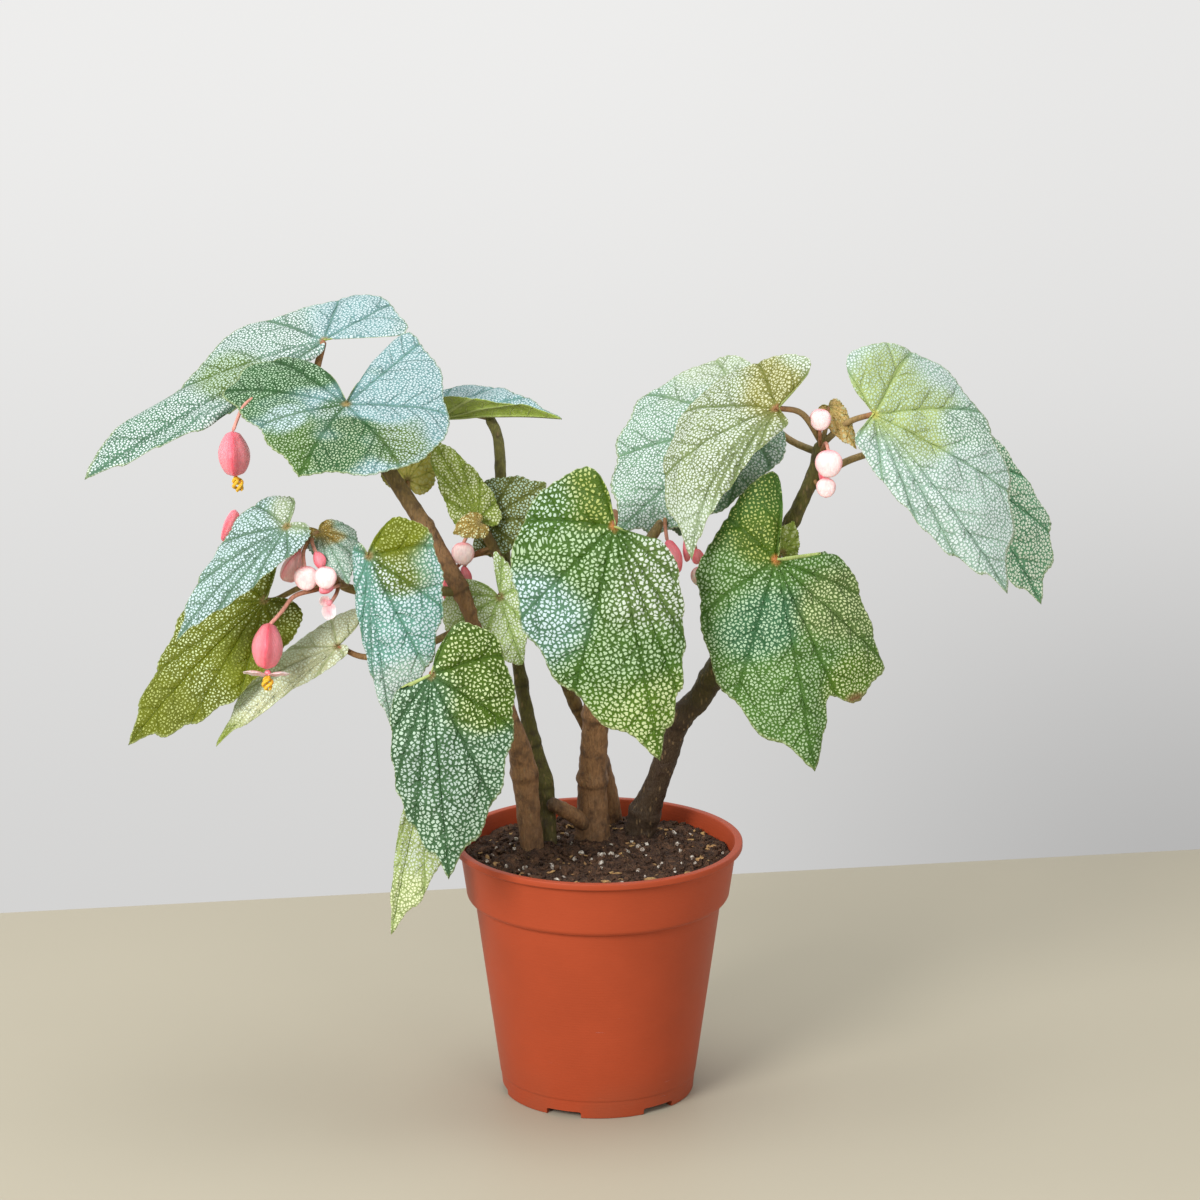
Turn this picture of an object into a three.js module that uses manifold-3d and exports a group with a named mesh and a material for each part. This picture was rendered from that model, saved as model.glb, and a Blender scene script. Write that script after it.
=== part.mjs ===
// A potted begonia: wing-shaped leaves and hanging pink blooms on five bare canes, in a round plastic pot.
// Millimetres, +Z up, -Y the front, +X the right. The origin is the centre of the pot's foot, on the floor.
import * as THREE from "three";
import { mergeVertices } from "three/addons/utils/BufferGeometryUtils.js";
import Module from "manifold-3d";

const wasm = await Module();
wasm.setup();

// Pot
const POT_HEIGHT = 135;
const POT_SIDES = 36;
const WALL = 1.5;
const FOOT_RADIUS = 50;
const BODY_TAPER = 0.135; // millimetres of radius for each millimetre of height
const BAND_BOTTOM = 105;
const BAND_RADIUS = 68.2;
const BAND_TOP_RADIUS = 71.6;
const LIP_BOTTOM = 130.5;
const LIP_RADIUS = 75;
const LIP_LEDGE = 2; // height of the slope under the lip
const LIP_EDGE = 1; // bevel of the lip's top
const MOUTH_STEP = 0.6; // the mouth is this much narrower than the band's top
const BAND_STEP = 1.6; // the rounded lower edge of the rim band: how far in, and how high
const BAND_STEP_HEIGHT = 2.6;
const BAND_UNDERSIDE = 0.2;
const SHELF_HEIGHT = 1.4; // inside, where the wall steps out behind the band
const FOOT_LINE = 10; // a faint moulded line round the foot
const FOOT_LINE_DEPTH = 0.4;
const FOOT_LINE_SLOPE = 0.6;
const BASE_BOTTOM = 4;
const BASE_TOP = 6;
const FOOT_RING_WIDTH = 3.5;
const HUB_RADIUS = 15;
const NOTCHES = 6;
const NOTCH_WIDTH = 19;
const NOTCH_HEIGHT = 3.4;
const NOTCH_DEPTH = 14;
const NOTCH_FIRST_ANGLE = -21; // degrees from the front, towards the right
const DRAIN_RADIUS = 5;
const DRAIN_CIRCLE = 36;
const DRAIN_SIDES = 8;

// Soil
const GAP = 0.3; // clearance between neighbouring pieces
const SOIL_SIDES = 36;
const SOIL_TOP = 129;
const SOIL_SHELF = 108; // height where the compost widens behind the rim band
const SOIL_DIP = 2.5; // how far the surface falls from the front to the back
const SOIL_LUMP = 1.3;
const SOIL_RINGS = [1, 0.86, 0.62, 0.3]; // shares of the surface's radius, from the wall inwards
const SOIL_SEED = 7;
const STEM_FOOT = 92; // height of a cane's buried end

// Blades
const LEAF_THICKNESS = 0.8;
const PETAL_THICKNESS = 0.8;
const LEAF_RINGS = [0.5, 1];
const SMALL_RINGS = [0.55, 1];
const LEAF_RIM = 28;
const SMALL_RIM = 20;
const TOOTH = 0.045; // depth of the margin's teeth, as a share of the distance from the sinus
const SIDE_DROOP = 0.35;
const LOBE_SLOPE = 0.5; // how fast the backward lobes fall away behind the sinus
const WAVES = 5; // waves round the margin
const WAVE_HEIGHT = 0.012; // as a share of the leaf's length
const SINUS_SHARE = 0.25; // depth left of the notch at the stalk, as a share of the margin beside it
const SINUS_PLUG = 4;
const ROOM_MARGIN = 2.5 * GAP; // clearance on each face of a blade, where a stalk comes close

// Stems
const CANE_SIDES = 7;
const STALK_SIDES = 5;
const THREAD_SIDES = 4;
const RING_STEP = 15; // distance between a limb's rings

// Blooms
const OVARY_RINGS = 5;
const OVARY_WINGS = [1, 0.78, 0.7]; // reach of each wing, as a share of the widest
const OVARY_CORE = 0.34; // radius between the wings, as a share of the widest
const OVARY_NECK = 0.22; // size of the two ends, as a share of the middle
const OVARY_SPAN = [0.06, 0.92]; // the part of a half wave that its outline follows
const OVARY_FULLNESS = 0.8;
const WING_EDGE = 1; // thickness of a wing's edge
const WING_CORNERS = 3; // two at each wing's edge and one in the valley after it
const BUD_SIDES = 8;
const BUD_RINGS = 5;
const BUD_DEPTH = 0.4; // thickness of the two pressed petals, as a share of their length
const PETAL_SIDES = 8;
const PETAL_WIDTH = 0.85; // as a share of its length
const PETAL_CUP = 0.25;
const HEART_RADIUS = 1.8;
const STIGMA_ARMS = 3;
const STIGMA_RADII = [1.1, 1.1, 0.8];
const STIGMA_SPREAD = [0.3, 0.15]; // at half height and at the tip, as a share of its height

const COLOURS = {
  pot: 0xc0573a,
  soil: 0x2b1d17,
  bark: 0x66503f,
  greenBark: 0x7a7048,
  deep: 0x3c6d4b,
  olive: 0x76862f,
  mint: 0xa9cfc4,
  teal: 0x6fa394,
  blue: 0x8fbcc0,
  lime: 0xa3b76a,
  coral: 0xe8606e,
  blush: 0xf3c3c1,
  yellow: 0xe3b52f,
};

const radians = THREE.MathUtils.degToRad;
const vector = (point) => new THREE.Vector3(...point);

// The same draw for the same seed.
function seededDraw(seed) {
  let state = seed;
  return () => {
    state = (state * 16807) % 2147483647;
    return state / 2147483647;
  };
}

function geometryOf(points, triangles) {
  const geometry = new THREE.BufferGeometry().setFromPoints(points);
  geometry.setIndex(triangles);
  return geometry;
}

function solidOf(geometry) {
  geometry.deleteAttribute("normal");
  geometry.deleteAttribute("uv");
  const merged = mergeVertices(geometry, 1e-4);
  return new wasm.Manifold(
    new wasm.Mesh({
      numProp: 3,
      vertProperties: new Float32Array(merged.attributes.position.array),
      triVerts: new Uint32Array(merged.index.array),
    }),
  );
}

function geometryFrom(solid) {
  const mesh = solid.getMesh();
  const geometry = new THREE.BufferGeometry();
  geometry.setAttribute("position", new THREE.BufferAttribute(mesh.vertProperties, 3));
  geometry.setIndex(new THREE.BufferAttribute(mesh.triVerts, 1));
  return geometry;
}

function joined(solids) {
  return solids.reduce((sum, solid) => sum.add(solid));
}

function cut(solid, tools) {
  return tools.reduce((rest, tool) => rest.subtract(tool), solid);
}

function largestBody(solid) {
  const bodies = solid.decompose();
  return bodies.reduce((best, body) => (body.volume() > best.volume() ? body : best));
}

// ---------------------------------------------------------------- limbs

// Two triangles for each side between one ring of points and the next, and a flat fan over each end.
function tubeTriangles(rings, sides) {
  const triangles = [];
  for (let ring = 0; ring < rings - 1; ring += 1) {
    for (let side = 0; side < sides; side += 1) {
      const a = ring * sides + side;
      const b = ring * sides + ((side + 1) % sides);
      triangles.push(a, b, b + sides, a, b + sides, a + sides);
    }
  }
  const last = (rings - 1) * sides;
  for (let side = 1; side < sides - 1; side += 1) {
    triangles.push(0, side + 1, side);
    triangles.push(last, last + side, last + side + 1);
  }
  return triangles;
}

// A round limb along a smooth path, its radius changing evenly from one given value to the next.
function limb({ path, radii, sides = STALK_SIDES }, extra = 0) {
  const curve = new THREE.CatmullRomCurve3(path.map(vector), false, "centripetal");
  const steps = Math.max(2, Math.round(curve.getLength() / RING_STEP));
  const frames = curve.computeFrenetFrames(steps);
  const points = [];
  for (let step = 0; step <= steps; step += 1) {
    const share = step / steps;
    const place = share * (radii.length - 1);
    const before = Math.min(Math.floor(place), radii.length - 2);
    const radius = THREE.MathUtils.lerp(radii[before], radii[before + 1], place - before) + extra;
    const centre = curve.getPointAt(share);
    for (let side = 0; side < sides; side += 1) {
      const angle = (2 * Math.PI * side) / sides;
      const spoke = frames.normals[step].clone().multiplyScalar(radius * Math.cos(angle));
      spoke.addScaledVector(frames.binormals[step], radius * Math.sin(angle));
      points.push(spoke.add(centre));
    }
  }
  return solidOf(geometryOf(points, tubeTriangles(steps + 1, sides)));
}

// ---------------------------------------------------------------- blades

// Half of a leaf's outline from the sinus to the tip, in shares of the leaf's length. Each pair is a distance
// from the midrib and a place along it, which is negative behind the sinus. The half hangs back in a round lobe,
// or, where the lobe is negative, its margin rises straight from the sinus.
function halfOutline(width, lobe, belly, shoulder) {
  const back = lobe > 0 ? [0, 0.6, 1, 0.62] : [0, 0.12, 0.33, 0.62];
  return [
    [0, -back[0] * lobe],
    [0.16 * width, -back[1] * lobe],
    [0.45 * width, -back[2] * lobe],
    [0.84 * width, -back[3] * lobe],
    [width, 0.6 * belly],
    [0.97 * width, belly + 0.12],
    [shoulder * width, 0.6 + 0.4 * belly],
    [0.4 * shoulder * width, 0.87 + 0.1 * belly],
    [0, 1],
  ];
}

function evenlySpaced(outline, count) {
  const places = outline.map(([u, v]) => new THREE.Vector3(u, v, 0));
  const curve = new THREE.CatmullRomCurve3(places, false, "centripetal");
  return curve.getSpacedPoints(count).map((point) => [point.x, point.y]);
}

// The whole outline, from the sinus down the left half to the tip and back up the right one, with a toothed
// margin. Behind the sinus it leans to the right by the skew. A half with a margin of its own keeps to that.
function leafOutline({ width, lobe, belly, shoulder, skew, small, margins }) {
  const half = (small ? SMALL_RIM : LEAF_RIM) / 2;
  const [left, right] = [0, 1].map((side) => evenlySpaced(
    margins[side] ?? halfOutline(width[side], lobe[side], belly[side], shoulder[side]), half,
  ));
  const mirrored = right.map(([u, v]) => [-u, v]).reverse();
  const margin = [...left.slice(1), ...mirrored.slice(1, -1)].map(([u, v], index) => {
    const tooth = index % 2 === half % 2 ? 1 - TOOTH : 1;
    return [(u + skew * Math.min(v, 0)) * tooth, v * tooth];
  });
  const [first, last] = [margin[0], margin[margin.length - 1]];
  const sinus = first.map((place, index) => (SINUS_SHARE * (place + last[index])) / 2);
  return [...margin, sinus];
}

// Where a share u of the length to the left of the midrib and a share v along it lie in space. The midrib
// bows towards the face, each half is folded about it, and the sides droop away from it.
function leafSurface(leaf) {
  const base = vector(leaf.at);
  const along = vector(leaf.tip).sub(base);
  const length = along.length();
  along.normalize();
  const face = vector(leaf.face);
  face.addScaledVector(along, -face.dot(along)).normalize();
  const left = new THREE.Vector3().crossVectors(along, face);
  const bow = 4 * leaf.bow;
  return (u, v, edge, turn) => {
    const arc = v > 0 ? v * (1 - v) : LOBE_SLOPE * v;
    const slope = v > 0 ? bow * (1 - 2 * v) : bow * LOBE_SLOPE;
    const normal = face.clone().addScaledVector(along, -slope).normalize();
    const side = Math.abs(u);
    const fold = radians(leaf.fold[u > 0 ? 0 : 1]);
    const wave = WAVE_HEIGHT * edge * edge * Math.sin(WAVES * turn + leaf.phase);
    const lift = side * Math.sin(fold) - leaf.droop * side * side + wave;
    const across = u * Math.cos(fold) + 4 * leaf.bend * Math.max(arc, 0);
    return base
      .clone()
      .addScaledVector(along, length * v)
      .addScaledVector(face, length * bow * arc)
      .addScaledVector(left, length * across)
      .addScaledVector(normal, length * lift);
  };
}

// A closed sheet round a middle point: rings of points that scale the outline, given thickness along their
// normals. Both faces are split into the same triangles.
function sheet(outline, rings, surface, thickness) {
  const count = outline.length;
  const points = [surface(0, 0, 0, 0)];
  rings.forEach((share) => {
    outline.forEach(([u, v], index) => {
      points.push(surface(u * share, v * share, share, (2 * Math.PI * index) / count));
    });
  });
  const triangles = [];
  for (let index = 0; index < count; index += 1) {
    const next = (index + 1) % count;
    triangles.push(0, 1 + index, 1 + next);
    for (let ring = 1; ring < rings.length; ring += 1) {
      const inner = 1 + (ring - 1) * count;
      const outer = inner + count;
      triangles.push(inner + index, outer + index, outer + next);
      triangles.push(inner + index, outer + next, inner + next);
    }
  }
  return thickened(points, triangles, count, thickness);
}

// The sheet's points moved to both sides along their normals, with a strip that closes the rim.
function thickened(points, triangles, count, thickness) {
  const middle = geometryOf(points, triangles);
  middle.computeVertexNormals();
  const normals = middle.getAttribute("normal");
  const moved = (distance) =>
    points.map((point, index) => {
      const normal = new THREE.Vector3().fromBufferAttribute(normals, index);
      return point.clone().addScaledVector(normal, distance);
    });
  const total = points.length;
  const all = [...triangles];
  for (let corner = 0; corner < triangles.length; corner += 3) {
    all.push(total + triangles[corner], total + triangles[corner + 2], total + triangles[corner + 1]);
  }
  const rim = total - count;
  for (let index = 0; index < count; index += 1) {
    const a = rim + index;
    const b = rim + ((index + 1) % count);
    all.push(a, total + a, total + b, a, total + b, b);
  }
  return solidOf(geometryOf([...moved(thickness / 2), ...moved(-thickness / 2)], all));
}

function leafSheet(leaf, outline, thickness) {
  return sheet(outline, leaf.small ? SMALL_RINGS : LEAF_RINGS, leafSurface(leaf), thickness);
}

function leafSolid(leaf) {
  return leafSheet(leaf, leafOutline(leaf), LEAF_THICKNESS);
}

// The room round a leaf's blade that its stalk keeps out of, with the notch of the sinus filled in.
function leafRoom(leaf) {
  const outline = leafOutline(leaf);
  const length = vector(leaf.at).distanceTo(vector(leaf.tip));
  const grown = outline.map(([u, v], index) => {
    const reach = index === outline.length - 1 ? SINUS_PLUG : GAP;
    const share = 1 + reach / length / Math.hypot(u, v);
    return [u * share, v * share];
  });
  return leafSheet(leaf, grown, LEAF_THICKNESS + 2 * ROOM_MARGIN);
}

// ---------------------------------------------------------------- blooms

// The axis from one point to another, its length, and two directions across it.
function frameBetween(at, tip, turn) {
  const start = vector(at);
  const axis = vector(tip).sub(start);
  const length = axis.length();
  axis.normalize();
  const across = Math.abs(axis.x) < 0.9 ? new THREE.Vector3(1, 0, 0) : new THREE.Vector3(0, 0, 1);
  across.addScaledVector(axis, -across.dot(axis)).normalize();
  across.applyAxisAngle(axis, radians(turn));
  return { start, axis, length, across, third: new THREE.Vector3().crossVectors(axis, across) };
}

// How wide a seed case is at a share of its length, as a share of its middle.
function ovarySwell(share) {
  const place = THREE.MathUtils.lerp(OVARY_SPAN[0], OVARY_SPAN[1], share);
  return OVARY_NECK + (1 - OVARY_NECK) * Math.sin(Math.PI * place) ** OVARY_FULLNESS;
}

// A seed case with three blunt wings, the first the widest.
function ovary({ at, tip, wide, turn = 0 }) {
  const { start, axis, length, across, third } = frameBetween(at, tip, turn);
  const corners = OVARY_WINGS.length * WING_CORNERS;
  const points = [];
  for (let ring = 0; ring <= OVARY_RINGS; ring += 1) {
    const share = ring / OVARY_RINGS;
    const centre = start.clone().addScaledVector(axis, length * share);
    for (let corner = 0; corner < corners; corner += 1) {
      const wing = Math.floor(corner / WING_CORNERS);
      const place = corner % WING_CORNERS;
      const valley = place === WING_CORNERS - 1;
      const size = wide * ovarySwell(share) * (valley ? OVARY_CORE : OVARY_WINGS[wing]);
      const middle = (2 * Math.PI * wing) / OVARY_WINGS.length;
      const blunt = (WING_EDGE / 2 / size) * (place === 0 ? -1 : 1);
      const angle = middle + (valley ? Math.PI / OVARY_WINGS.length : blunt);
      const spoke = across.clone().multiplyScalar(size * Math.cos(angle));
      points.push(spoke.addScaledVector(third, size * Math.sin(angle)).add(centre));
    }
  }
  return solidOf(geometryOf(points, tubeTriangles(OVARY_RINGS + 1, corners)));
}

// Two round petals still pressed together.
function closedBud({ at, tip }) {
  const { start, axis, length, across, third } = frameBetween(at, tip, 0);
  const geometry = new THREE.SphereGeometry(length / 2, BUD_SIDES, BUD_RINGS);
  geometry.scale(1, 1, BUD_DEPTH);
  geometry.applyMatrix4(new THREE.Matrix4().makeBasis(across, axis, third.negate()));
  geometry.translate(...start.addScaledVector(axis, length / 2).toArray());
  return solidOf(geometry);
}

function petalOutline() {
  return Array.from({ length: PETAL_SIDES }, (_, index) => {
    const angle = (2 * Math.PI * index) / PETAL_SIDES;
    return [Math.sin(angle), -Math.cos(angle)];
  });
}

// A cupped round petal from its root to its tip.
function petal(root, tip, face) {
  const start = vector(root);
  const along = vector(tip).sub(start);
  const half = along.length() / 2;
  along.normalize();
  const normal = vector(face);
  normal.addScaledVector(along, -normal.dot(along)).normalize();
  const left = new THREE.Vector3().crossVectors(along, normal);
  const middle = start.addScaledVector(along, half);
  const surface = (u, v, edge) =>
    middle
      .clone()
      .addScaledVector(along, half * v)
      .addScaledVector(left, half * PETAL_WIDTH * u)
      .addScaledVector(normal, half * PETAL_CUP * edge * edge);
  return sheet(petalOutline(), SMALL_RINGS, surface, PETAL_THICKNESS);
}

// Open petals round a small heart.
function openPetals({ at, tips, face }) {
  const heart = new THREE.IcosahedronGeometry(HEART_RADIUS, 0);
  heart.translate(...at);
  return joined([solidOf(heart), ...tips.map((tip) => petal(at, tip, face))]);
}

// Short curled arms round the bloom's axis.
function stigma({ at, tip }) {
  const { start, axis, length, across } = frameBetween(at, tip, 0);
  const arms = Array.from({ length: STIGMA_ARMS }, (_, index) => {
    const out = across.clone().applyAxisAngle(axis, (2 * Math.PI * index) / STIGMA_ARMS);
    const place = (share, spread) =>
      start.clone().addScaledVector(axis, share * length).addScaledVector(out, spread * length).toArray();
    const path = [start.toArray(), place(0.5, STIGMA_SPREAD[0]), place(1, STIGMA_SPREAD[1])];
    return limb({ path, radii: STIGMA_RADII, sides: THREAD_SIDES });
  });
  return joined(arms);
}

// ---------------------------------------------------------------- pot and soil

function bodyRadius(height) {
  return FOOT_RADIUS + BODY_TAPER * height;
}

function bandRadius(height) {
  const share = (height - BAND_BOTTOM) / (LIP_BOTTOM - BAND_BOTTOM);
  return THREE.MathUtils.lerp(BAND_RADIUS, BAND_TOP_RADIUS, share);
}

// The pot's section as a closed outline of radius and height: under the base, up the outside and down inside.
function potProfile() {
  const inner = FOOT_RADIUS - FOOT_RING_WIDTH;
  const under = [
    [0, 0],
    [HUB_RADIUS, 0],
    [HUB_RADIUS, BASE_BOTTOM],
    [inner, BASE_BOTTOM],
    [inner, 0],
  ];
  const outside = [
    [FOOT_RADIUS, 0],
    [bodyRadius(FOOT_LINE) - FOOT_LINE_DEPTH, FOOT_LINE - FOOT_LINE_SLOPE],
    [bodyRadius(FOOT_LINE), FOOT_LINE],
    [bodyRadius(BAND_BOTTOM), BAND_BOTTOM],
    [BAND_RADIUS - BAND_STEP, BAND_BOTTOM + BAND_UNDERSIDE],
    [BAND_RADIUS, BAND_BOTTOM + BAND_STEP_HEIGHT],
    [BAND_TOP_RADIUS, LIP_BOTTOM],
    [LIP_RADIUS, LIP_BOTTOM + LIP_LEDGE],
    [LIP_RADIUS, POT_HEIGHT - LIP_EDGE],
    [LIP_RADIUS - LIP_EDGE, POT_HEIGHT],
  ];
  const inside = [
    [BAND_TOP_RADIUS - MOUTH_STEP, POT_HEIGHT],
    [BAND_TOP_RADIUS - WALL, LIP_BOTTOM],
    [BAND_RADIUS - WALL, BAND_BOTTOM + BAND_STEP_HEIGHT],
    [bodyRadius(BAND_BOTTOM) - WALL, BAND_BOTTOM + SHELF_HEIGHT],
    [bodyRadius(BASE_TOP) - WALL, BASE_TOP],
    [0, BASE_TOP],
  ];
  return [...under, ...outside, ...inside].map(([radius, height]) => new THREE.Vector2(radius, height));
}

// A geometry made about the Y axis, stood up on the Z axis.
function turned(geometry) {
  return geometry.rotateX(Math.PI / 2);
}

// The pot, with drainage notches in its foot and a hole through its base between each two.
function potSolid() {
  const shell = solidOf(turned(new THREE.LatheGeometry(potProfile(), POT_SIDES)));
  const tools = [];
  for (let index = 0; index < NOTCHES; index += 1) {
    const angle = radians(NOTCH_FIRST_ANGLE + (360 * index) / NOTCHES);
    const notch = new THREE.BoxGeometry(NOTCH_WIDTH, NOTCH_DEPTH, 2 * NOTCH_HEIGHT);
    notch.translate(0, -FOOT_RADIUS, 0);
    tools.push(solidOf(notch.rotateZ(angle)));
    const drain = turned(new THREE.CylinderGeometry(DRAIN_RADIUS, DRAIN_RADIUS, 4 * BASE_TOP, DRAIN_SIDES));
    drain.translate(0, -DRAIN_CIRCLE, 0);
    tools.push(solidOf(drain.rotateZ(angle + Math.PI / NOTCHES)));
  }
  return cut(shell, tools);
}

function soilHeight(y, draw) {
  const back = (y + BAND_RADIUS) / (2 * BAND_RADIUS);
  return SOIL_TOP - SOIL_DIP * back + SOIL_LUMP * (2 * draw() - 1);
}

// The compost fills the pot up to a lumpy surface, clear of the wall.
function soilSolid(stems) {
  const draw = seededDraw(SOIL_SEED);
  const inside = (radius) => radius - WALL - GAP;
  const points = [];
  const addRing = (radius, heightAt) => {
    for (let side = 0; side < SOIL_SIDES; side += 1) {
      const angle = (2 * Math.PI * side) / SOIL_SIDES;
      const y = -radius * Math.cos(angle);
      points.push(new THREE.Vector3(radius * Math.sin(angle), y, heightAt(y)));
    }
  };
  addRing(inside(bodyRadius(BASE_TOP)), () => BASE_TOP + GAP);
  addRing(inside(bodyRadius(BAND_BOTTOM)), () => BAND_BOTTOM + SHELF_HEIGHT + GAP);
  addRing(inside(BAND_RADIUS), () => SOIL_SHELF);
  const edge = inside(bandRadius(SOIL_TOP - SOIL_DIP - 2 * SOIL_LUMP));
  SOIL_RINGS.forEach((share) => addRing(share * edge, (y) => soilHeight(y, draw)));
  const block = solidOf(geometryOf(points, tubeTriangles(points.length / SOIL_SIDES, SOIL_SIDES)));
  return cut(block, stems);
}

// ---------------------------------------------------------------- the plant

// Each leaf: the sinus where its stalk joins, the tip, the way its face looks, and the widths and backward
// lobes of its left and right halves as shares of its length. Left and right are the viewer's, with the tip
// pointing down. The belly is where a half is widest, and the shoulder is its width nearer to the tip. The
// midrib bows towards the face and bends to the left. Each half folds up by its angle in degrees and droops.
const LEAF_DEFAULTS = {
  belly: [0.1, 0.1], shoulder: [0.66, 0.66], skew: 0, bend: 0, fold: [0, 0], droop: SIDE_DROOP, small: false,
  margins: [],
};
const LEAVES = [
  {
    name: "leaf_left_far", colour: "mint",
    at: [-142, 60, 387], tip: [-261, 5, 325], face: [-0.3, -0.45, 0.85],
    margins: [
      [
        [0, 0], [-0.085, -0.08], [-0.16, -0.165], [-0.195, -0.23], [-0.16, -0.27], [-0.08, -0.285], [0.01, -0.29],
        [0.09, -0.28], [0.17, -0.23], [0.2, -0.11], [0.225, -0.04], [0.255, 0.075], [0.295, 0.18], [0.285, 0.33],
        [0.21, 0.445], [0.17, 0.525], [0.15, 0.66], [0.13, 0.82], [0.095, 0.915], [0, 1],
      ],
      [
        [0, 0], [0.045, 0.03], [0.065, 0.12], [0.07, 0.22], [0.082, 0.33], [0.096, 0.45], [0.115, 0.575],
        [0.108, 0.65], [0.076, 0.76], [0.03, 0.906], [0, 1],
      ],
    ],
    bow: 0.02, fold: [3, -4], droop: 0.15, phase: 1,
  },
  {
    name: "leaf_left_crown", colour: "blue",
    at: [-127, 0, 365], tip: [-149, -38, 336], face: [-0.05, -0.5, 0.86],
    width: [1.3, 1.1], lobe: [0.5, 1.2], belly: [0.1, 0.1], shoulder: [0.5, 0.8],
    bow: 0.06, skew: -0.34, droop: 0.08, phase: 2,
  },
  {
    name: "leaf_left_bud", colour: "olive", small: true,
    at: [-98, 26, 320], tip: [-91, 34, 348], face: [0.3, -0.9, 0.1],
    width: [0.5, 0.55], lobe: [0.2, 0.2],
    bow: 0.05, fold: [15, 15], phase: 0,
  },
  {
    name: "leaf_left_mid", colour: "mint",
    at: [-155, -40, 311], tip: [-210, -62, 258], face: [-0.5, -0.75, 0.45],
    width: [0.33, 0.2], lobe: [0.17, 0.1], belly: [0.05, 0.2], shoulder: [0.5, 0.66],
    bow: 0.06, phase: 3,
  },
  {
    name: "leaf_left_low", colour: "olive",
    at: [-169, -15, 267], tip: [-238, -35, 196], face: [-0.3, -0.8, 0.5],
    width: [0.33, 0.28], lobe: [0.2, 0.1], belly: [0.1, 0.4], shoulder: [0.52, 0.66],
    bow: 0.05, phase: 1,
  },
  {
    name: "leaf_left_small", colour: "mint", small: true,
    at: [-140, -25, 305], tip: [-124, -45, 282], face: [0.1, -0.7, 0.7],
    width: [0.3, 0.55], lobe: [0.2, 0.2],
    bow: 0.1, fold: [-10, -10], phase: 4,
  },
  {
    name: "leaf_inner_high", colour: "teal",
    at: [-114, -48, 298], tip: [-103, -58, 210], face: [-0.1, -0.9, 0.35],
    width: [0.13, 0.4], lobe: [0.08, 0.2], belly: [0.25, 0.2],
    bow: 0.06, fold: [-30, -5], phase: 2,
  },
  {
    name: "leaf_left_edge", colour: "lime", small: true,
    at: [-132, -20, 244], tip: [-193, -45, 198], face: [-0.4, -0.6, 0.7],
    width: [0.27, 0.1], lobe: [0.3, 0.05],
    bow: 0.04, bend: 0.02, fold: [0, -20], phase: 5,
  },
  {
    name: "leaf_inner_low", colour: "deep",
    at: [-83, -67, 242], tip: [-74, -90, 143], face: [0.05, -0.9, 0.35],
    width: [0.23, 0.41], lobe: [-0.12, 0.25], belly: [0.45, 0.15],
    bow: 0.05, fold: [-15, -5], phase: 0,
  },
  {
    name: "leaf_inner_hanging", colour: "lime", small: true,
    at: [-88, -35, 182], tip: [-105, -60, 103], face: [-0.1, -0.9, 0.35],
    width: [0.08, 0.22], lobe: [0.05, 0.1], belly: [0.3, 0.4],
    bow: 0.03, phase: 3,
  },
  {
    name: "leaf_slim_stem", colour: "blue", small: true,
    at: [-82, 50, 347], tip: [-18, 15, 355], face: [0.1, -0.3, 0.95],
    width: [0.3, 0.44], lobe: [0.1, 0.25], shoulder: [0.66, 0.45],
    bow: 0.02, fold: [58, 20], phase: 2,
  },
  {
    name: "leaf_front", colour: "deep",
    at: [8, -55, 315], tip: [31, -70, 198], face: [0, -0.9, 0.4],
    width: [0.48, 0.225], lobe: [0.27, -0.16], belly: [0.25, 0.3],
    bow: 0.08, fold: [-15, -8], skew: 0.48, phase: 1,
  },
  {
    name: "leaf_main_top", colour: "mint", small: true,
    at: [38, 5, 314], tip: [42, 0, 296], face: [0, -0.9, 0.4],
    width: [0.5, 0.5], lobe: [0.3, 0.3],
    bow: 0.05, phase: 1,
  },
  {
    name: "leaf_back_high", colour: "lime", small: true,
    at: [-61, 10, 303], tip: [-87, 20, 346], face: [0, -0.8, 0.55],
    width: [0.27, 0.24], lobe: [0.15, 0.15],
    bow: 0.04, phase: 1,
  },
  {
    name: "leaf_back_right", colour: "mint", small: true,
    at: [-57, 20, 300], tip: [-26, 25, 319], face: [0.2, -0.8, 0.5],
    width: [0.55, 0.55], lobe: [0.4, 0.3],
    bow: 0.04, phase: 1,
  },
  {
    name: "leaf_back_small", colour: "olive", small: true,
    at: [-60, 2, 303], tip: [-74, -6, 299], face: [0, -0.8, 0.55],
    width: [0.5, 0.5], lobe: [0.2, 0.2],
    bow: 0.04, phase: 1,
  },
  {
    name: "leaf_back_low", colour: "lime", small: true,
    at: [-50, -5, 266], tip: [-38, -15, 232], face: [-0.2, -0.9, 0.4],
    width: [0.95, 0.3], lobe: [0.4, 0.65],
    bow: 0.04, phase: 1,
  },
  {
    name: "leaf_right_front", colour: "lime",
    at: [89, -20, 367], tip: [46, -45, 295], face: [-0.5, -0.7, 0.5],
    width: [0.56, 0.14], lobe: [0.37, -0.05], belly: [0.1, 0.2],
    bow: 0.06, bend: 0.1, fold: [0, -10], skew: 0.62, phase: 2,
  },
  {
    name: "leaf_right_inner", colour: "blue",
    at: [75, 15, 351], tip: [9, 0, 297], face: [-0.4, -0.75, 0.5],
    width: [0.68, 0.35], lobe: [0.3, 0.15], belly: [0.3, 0.4],
    bow: 0.05, phase: 0,
  },
  {
    name: "leaf_right_outer", colour: "mint",
    at: [139, -5, 361], tip: [206, -30, 274], face: [0.3, -0.8, 0.5],
    width: [0.17, 0.5], lobe: [-0.05, 0.3], belly: [0.4, 0.15],
    bow: 0.05, fold: [-15, 0], skew: -0.35, phase: 1,
  },
  {
    name: "leaf_right_far", colour: "teal",
    at: [179, 40, 330], tip: [231, 30, 253], face: [0.3, -0.8, 0.5],
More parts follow.
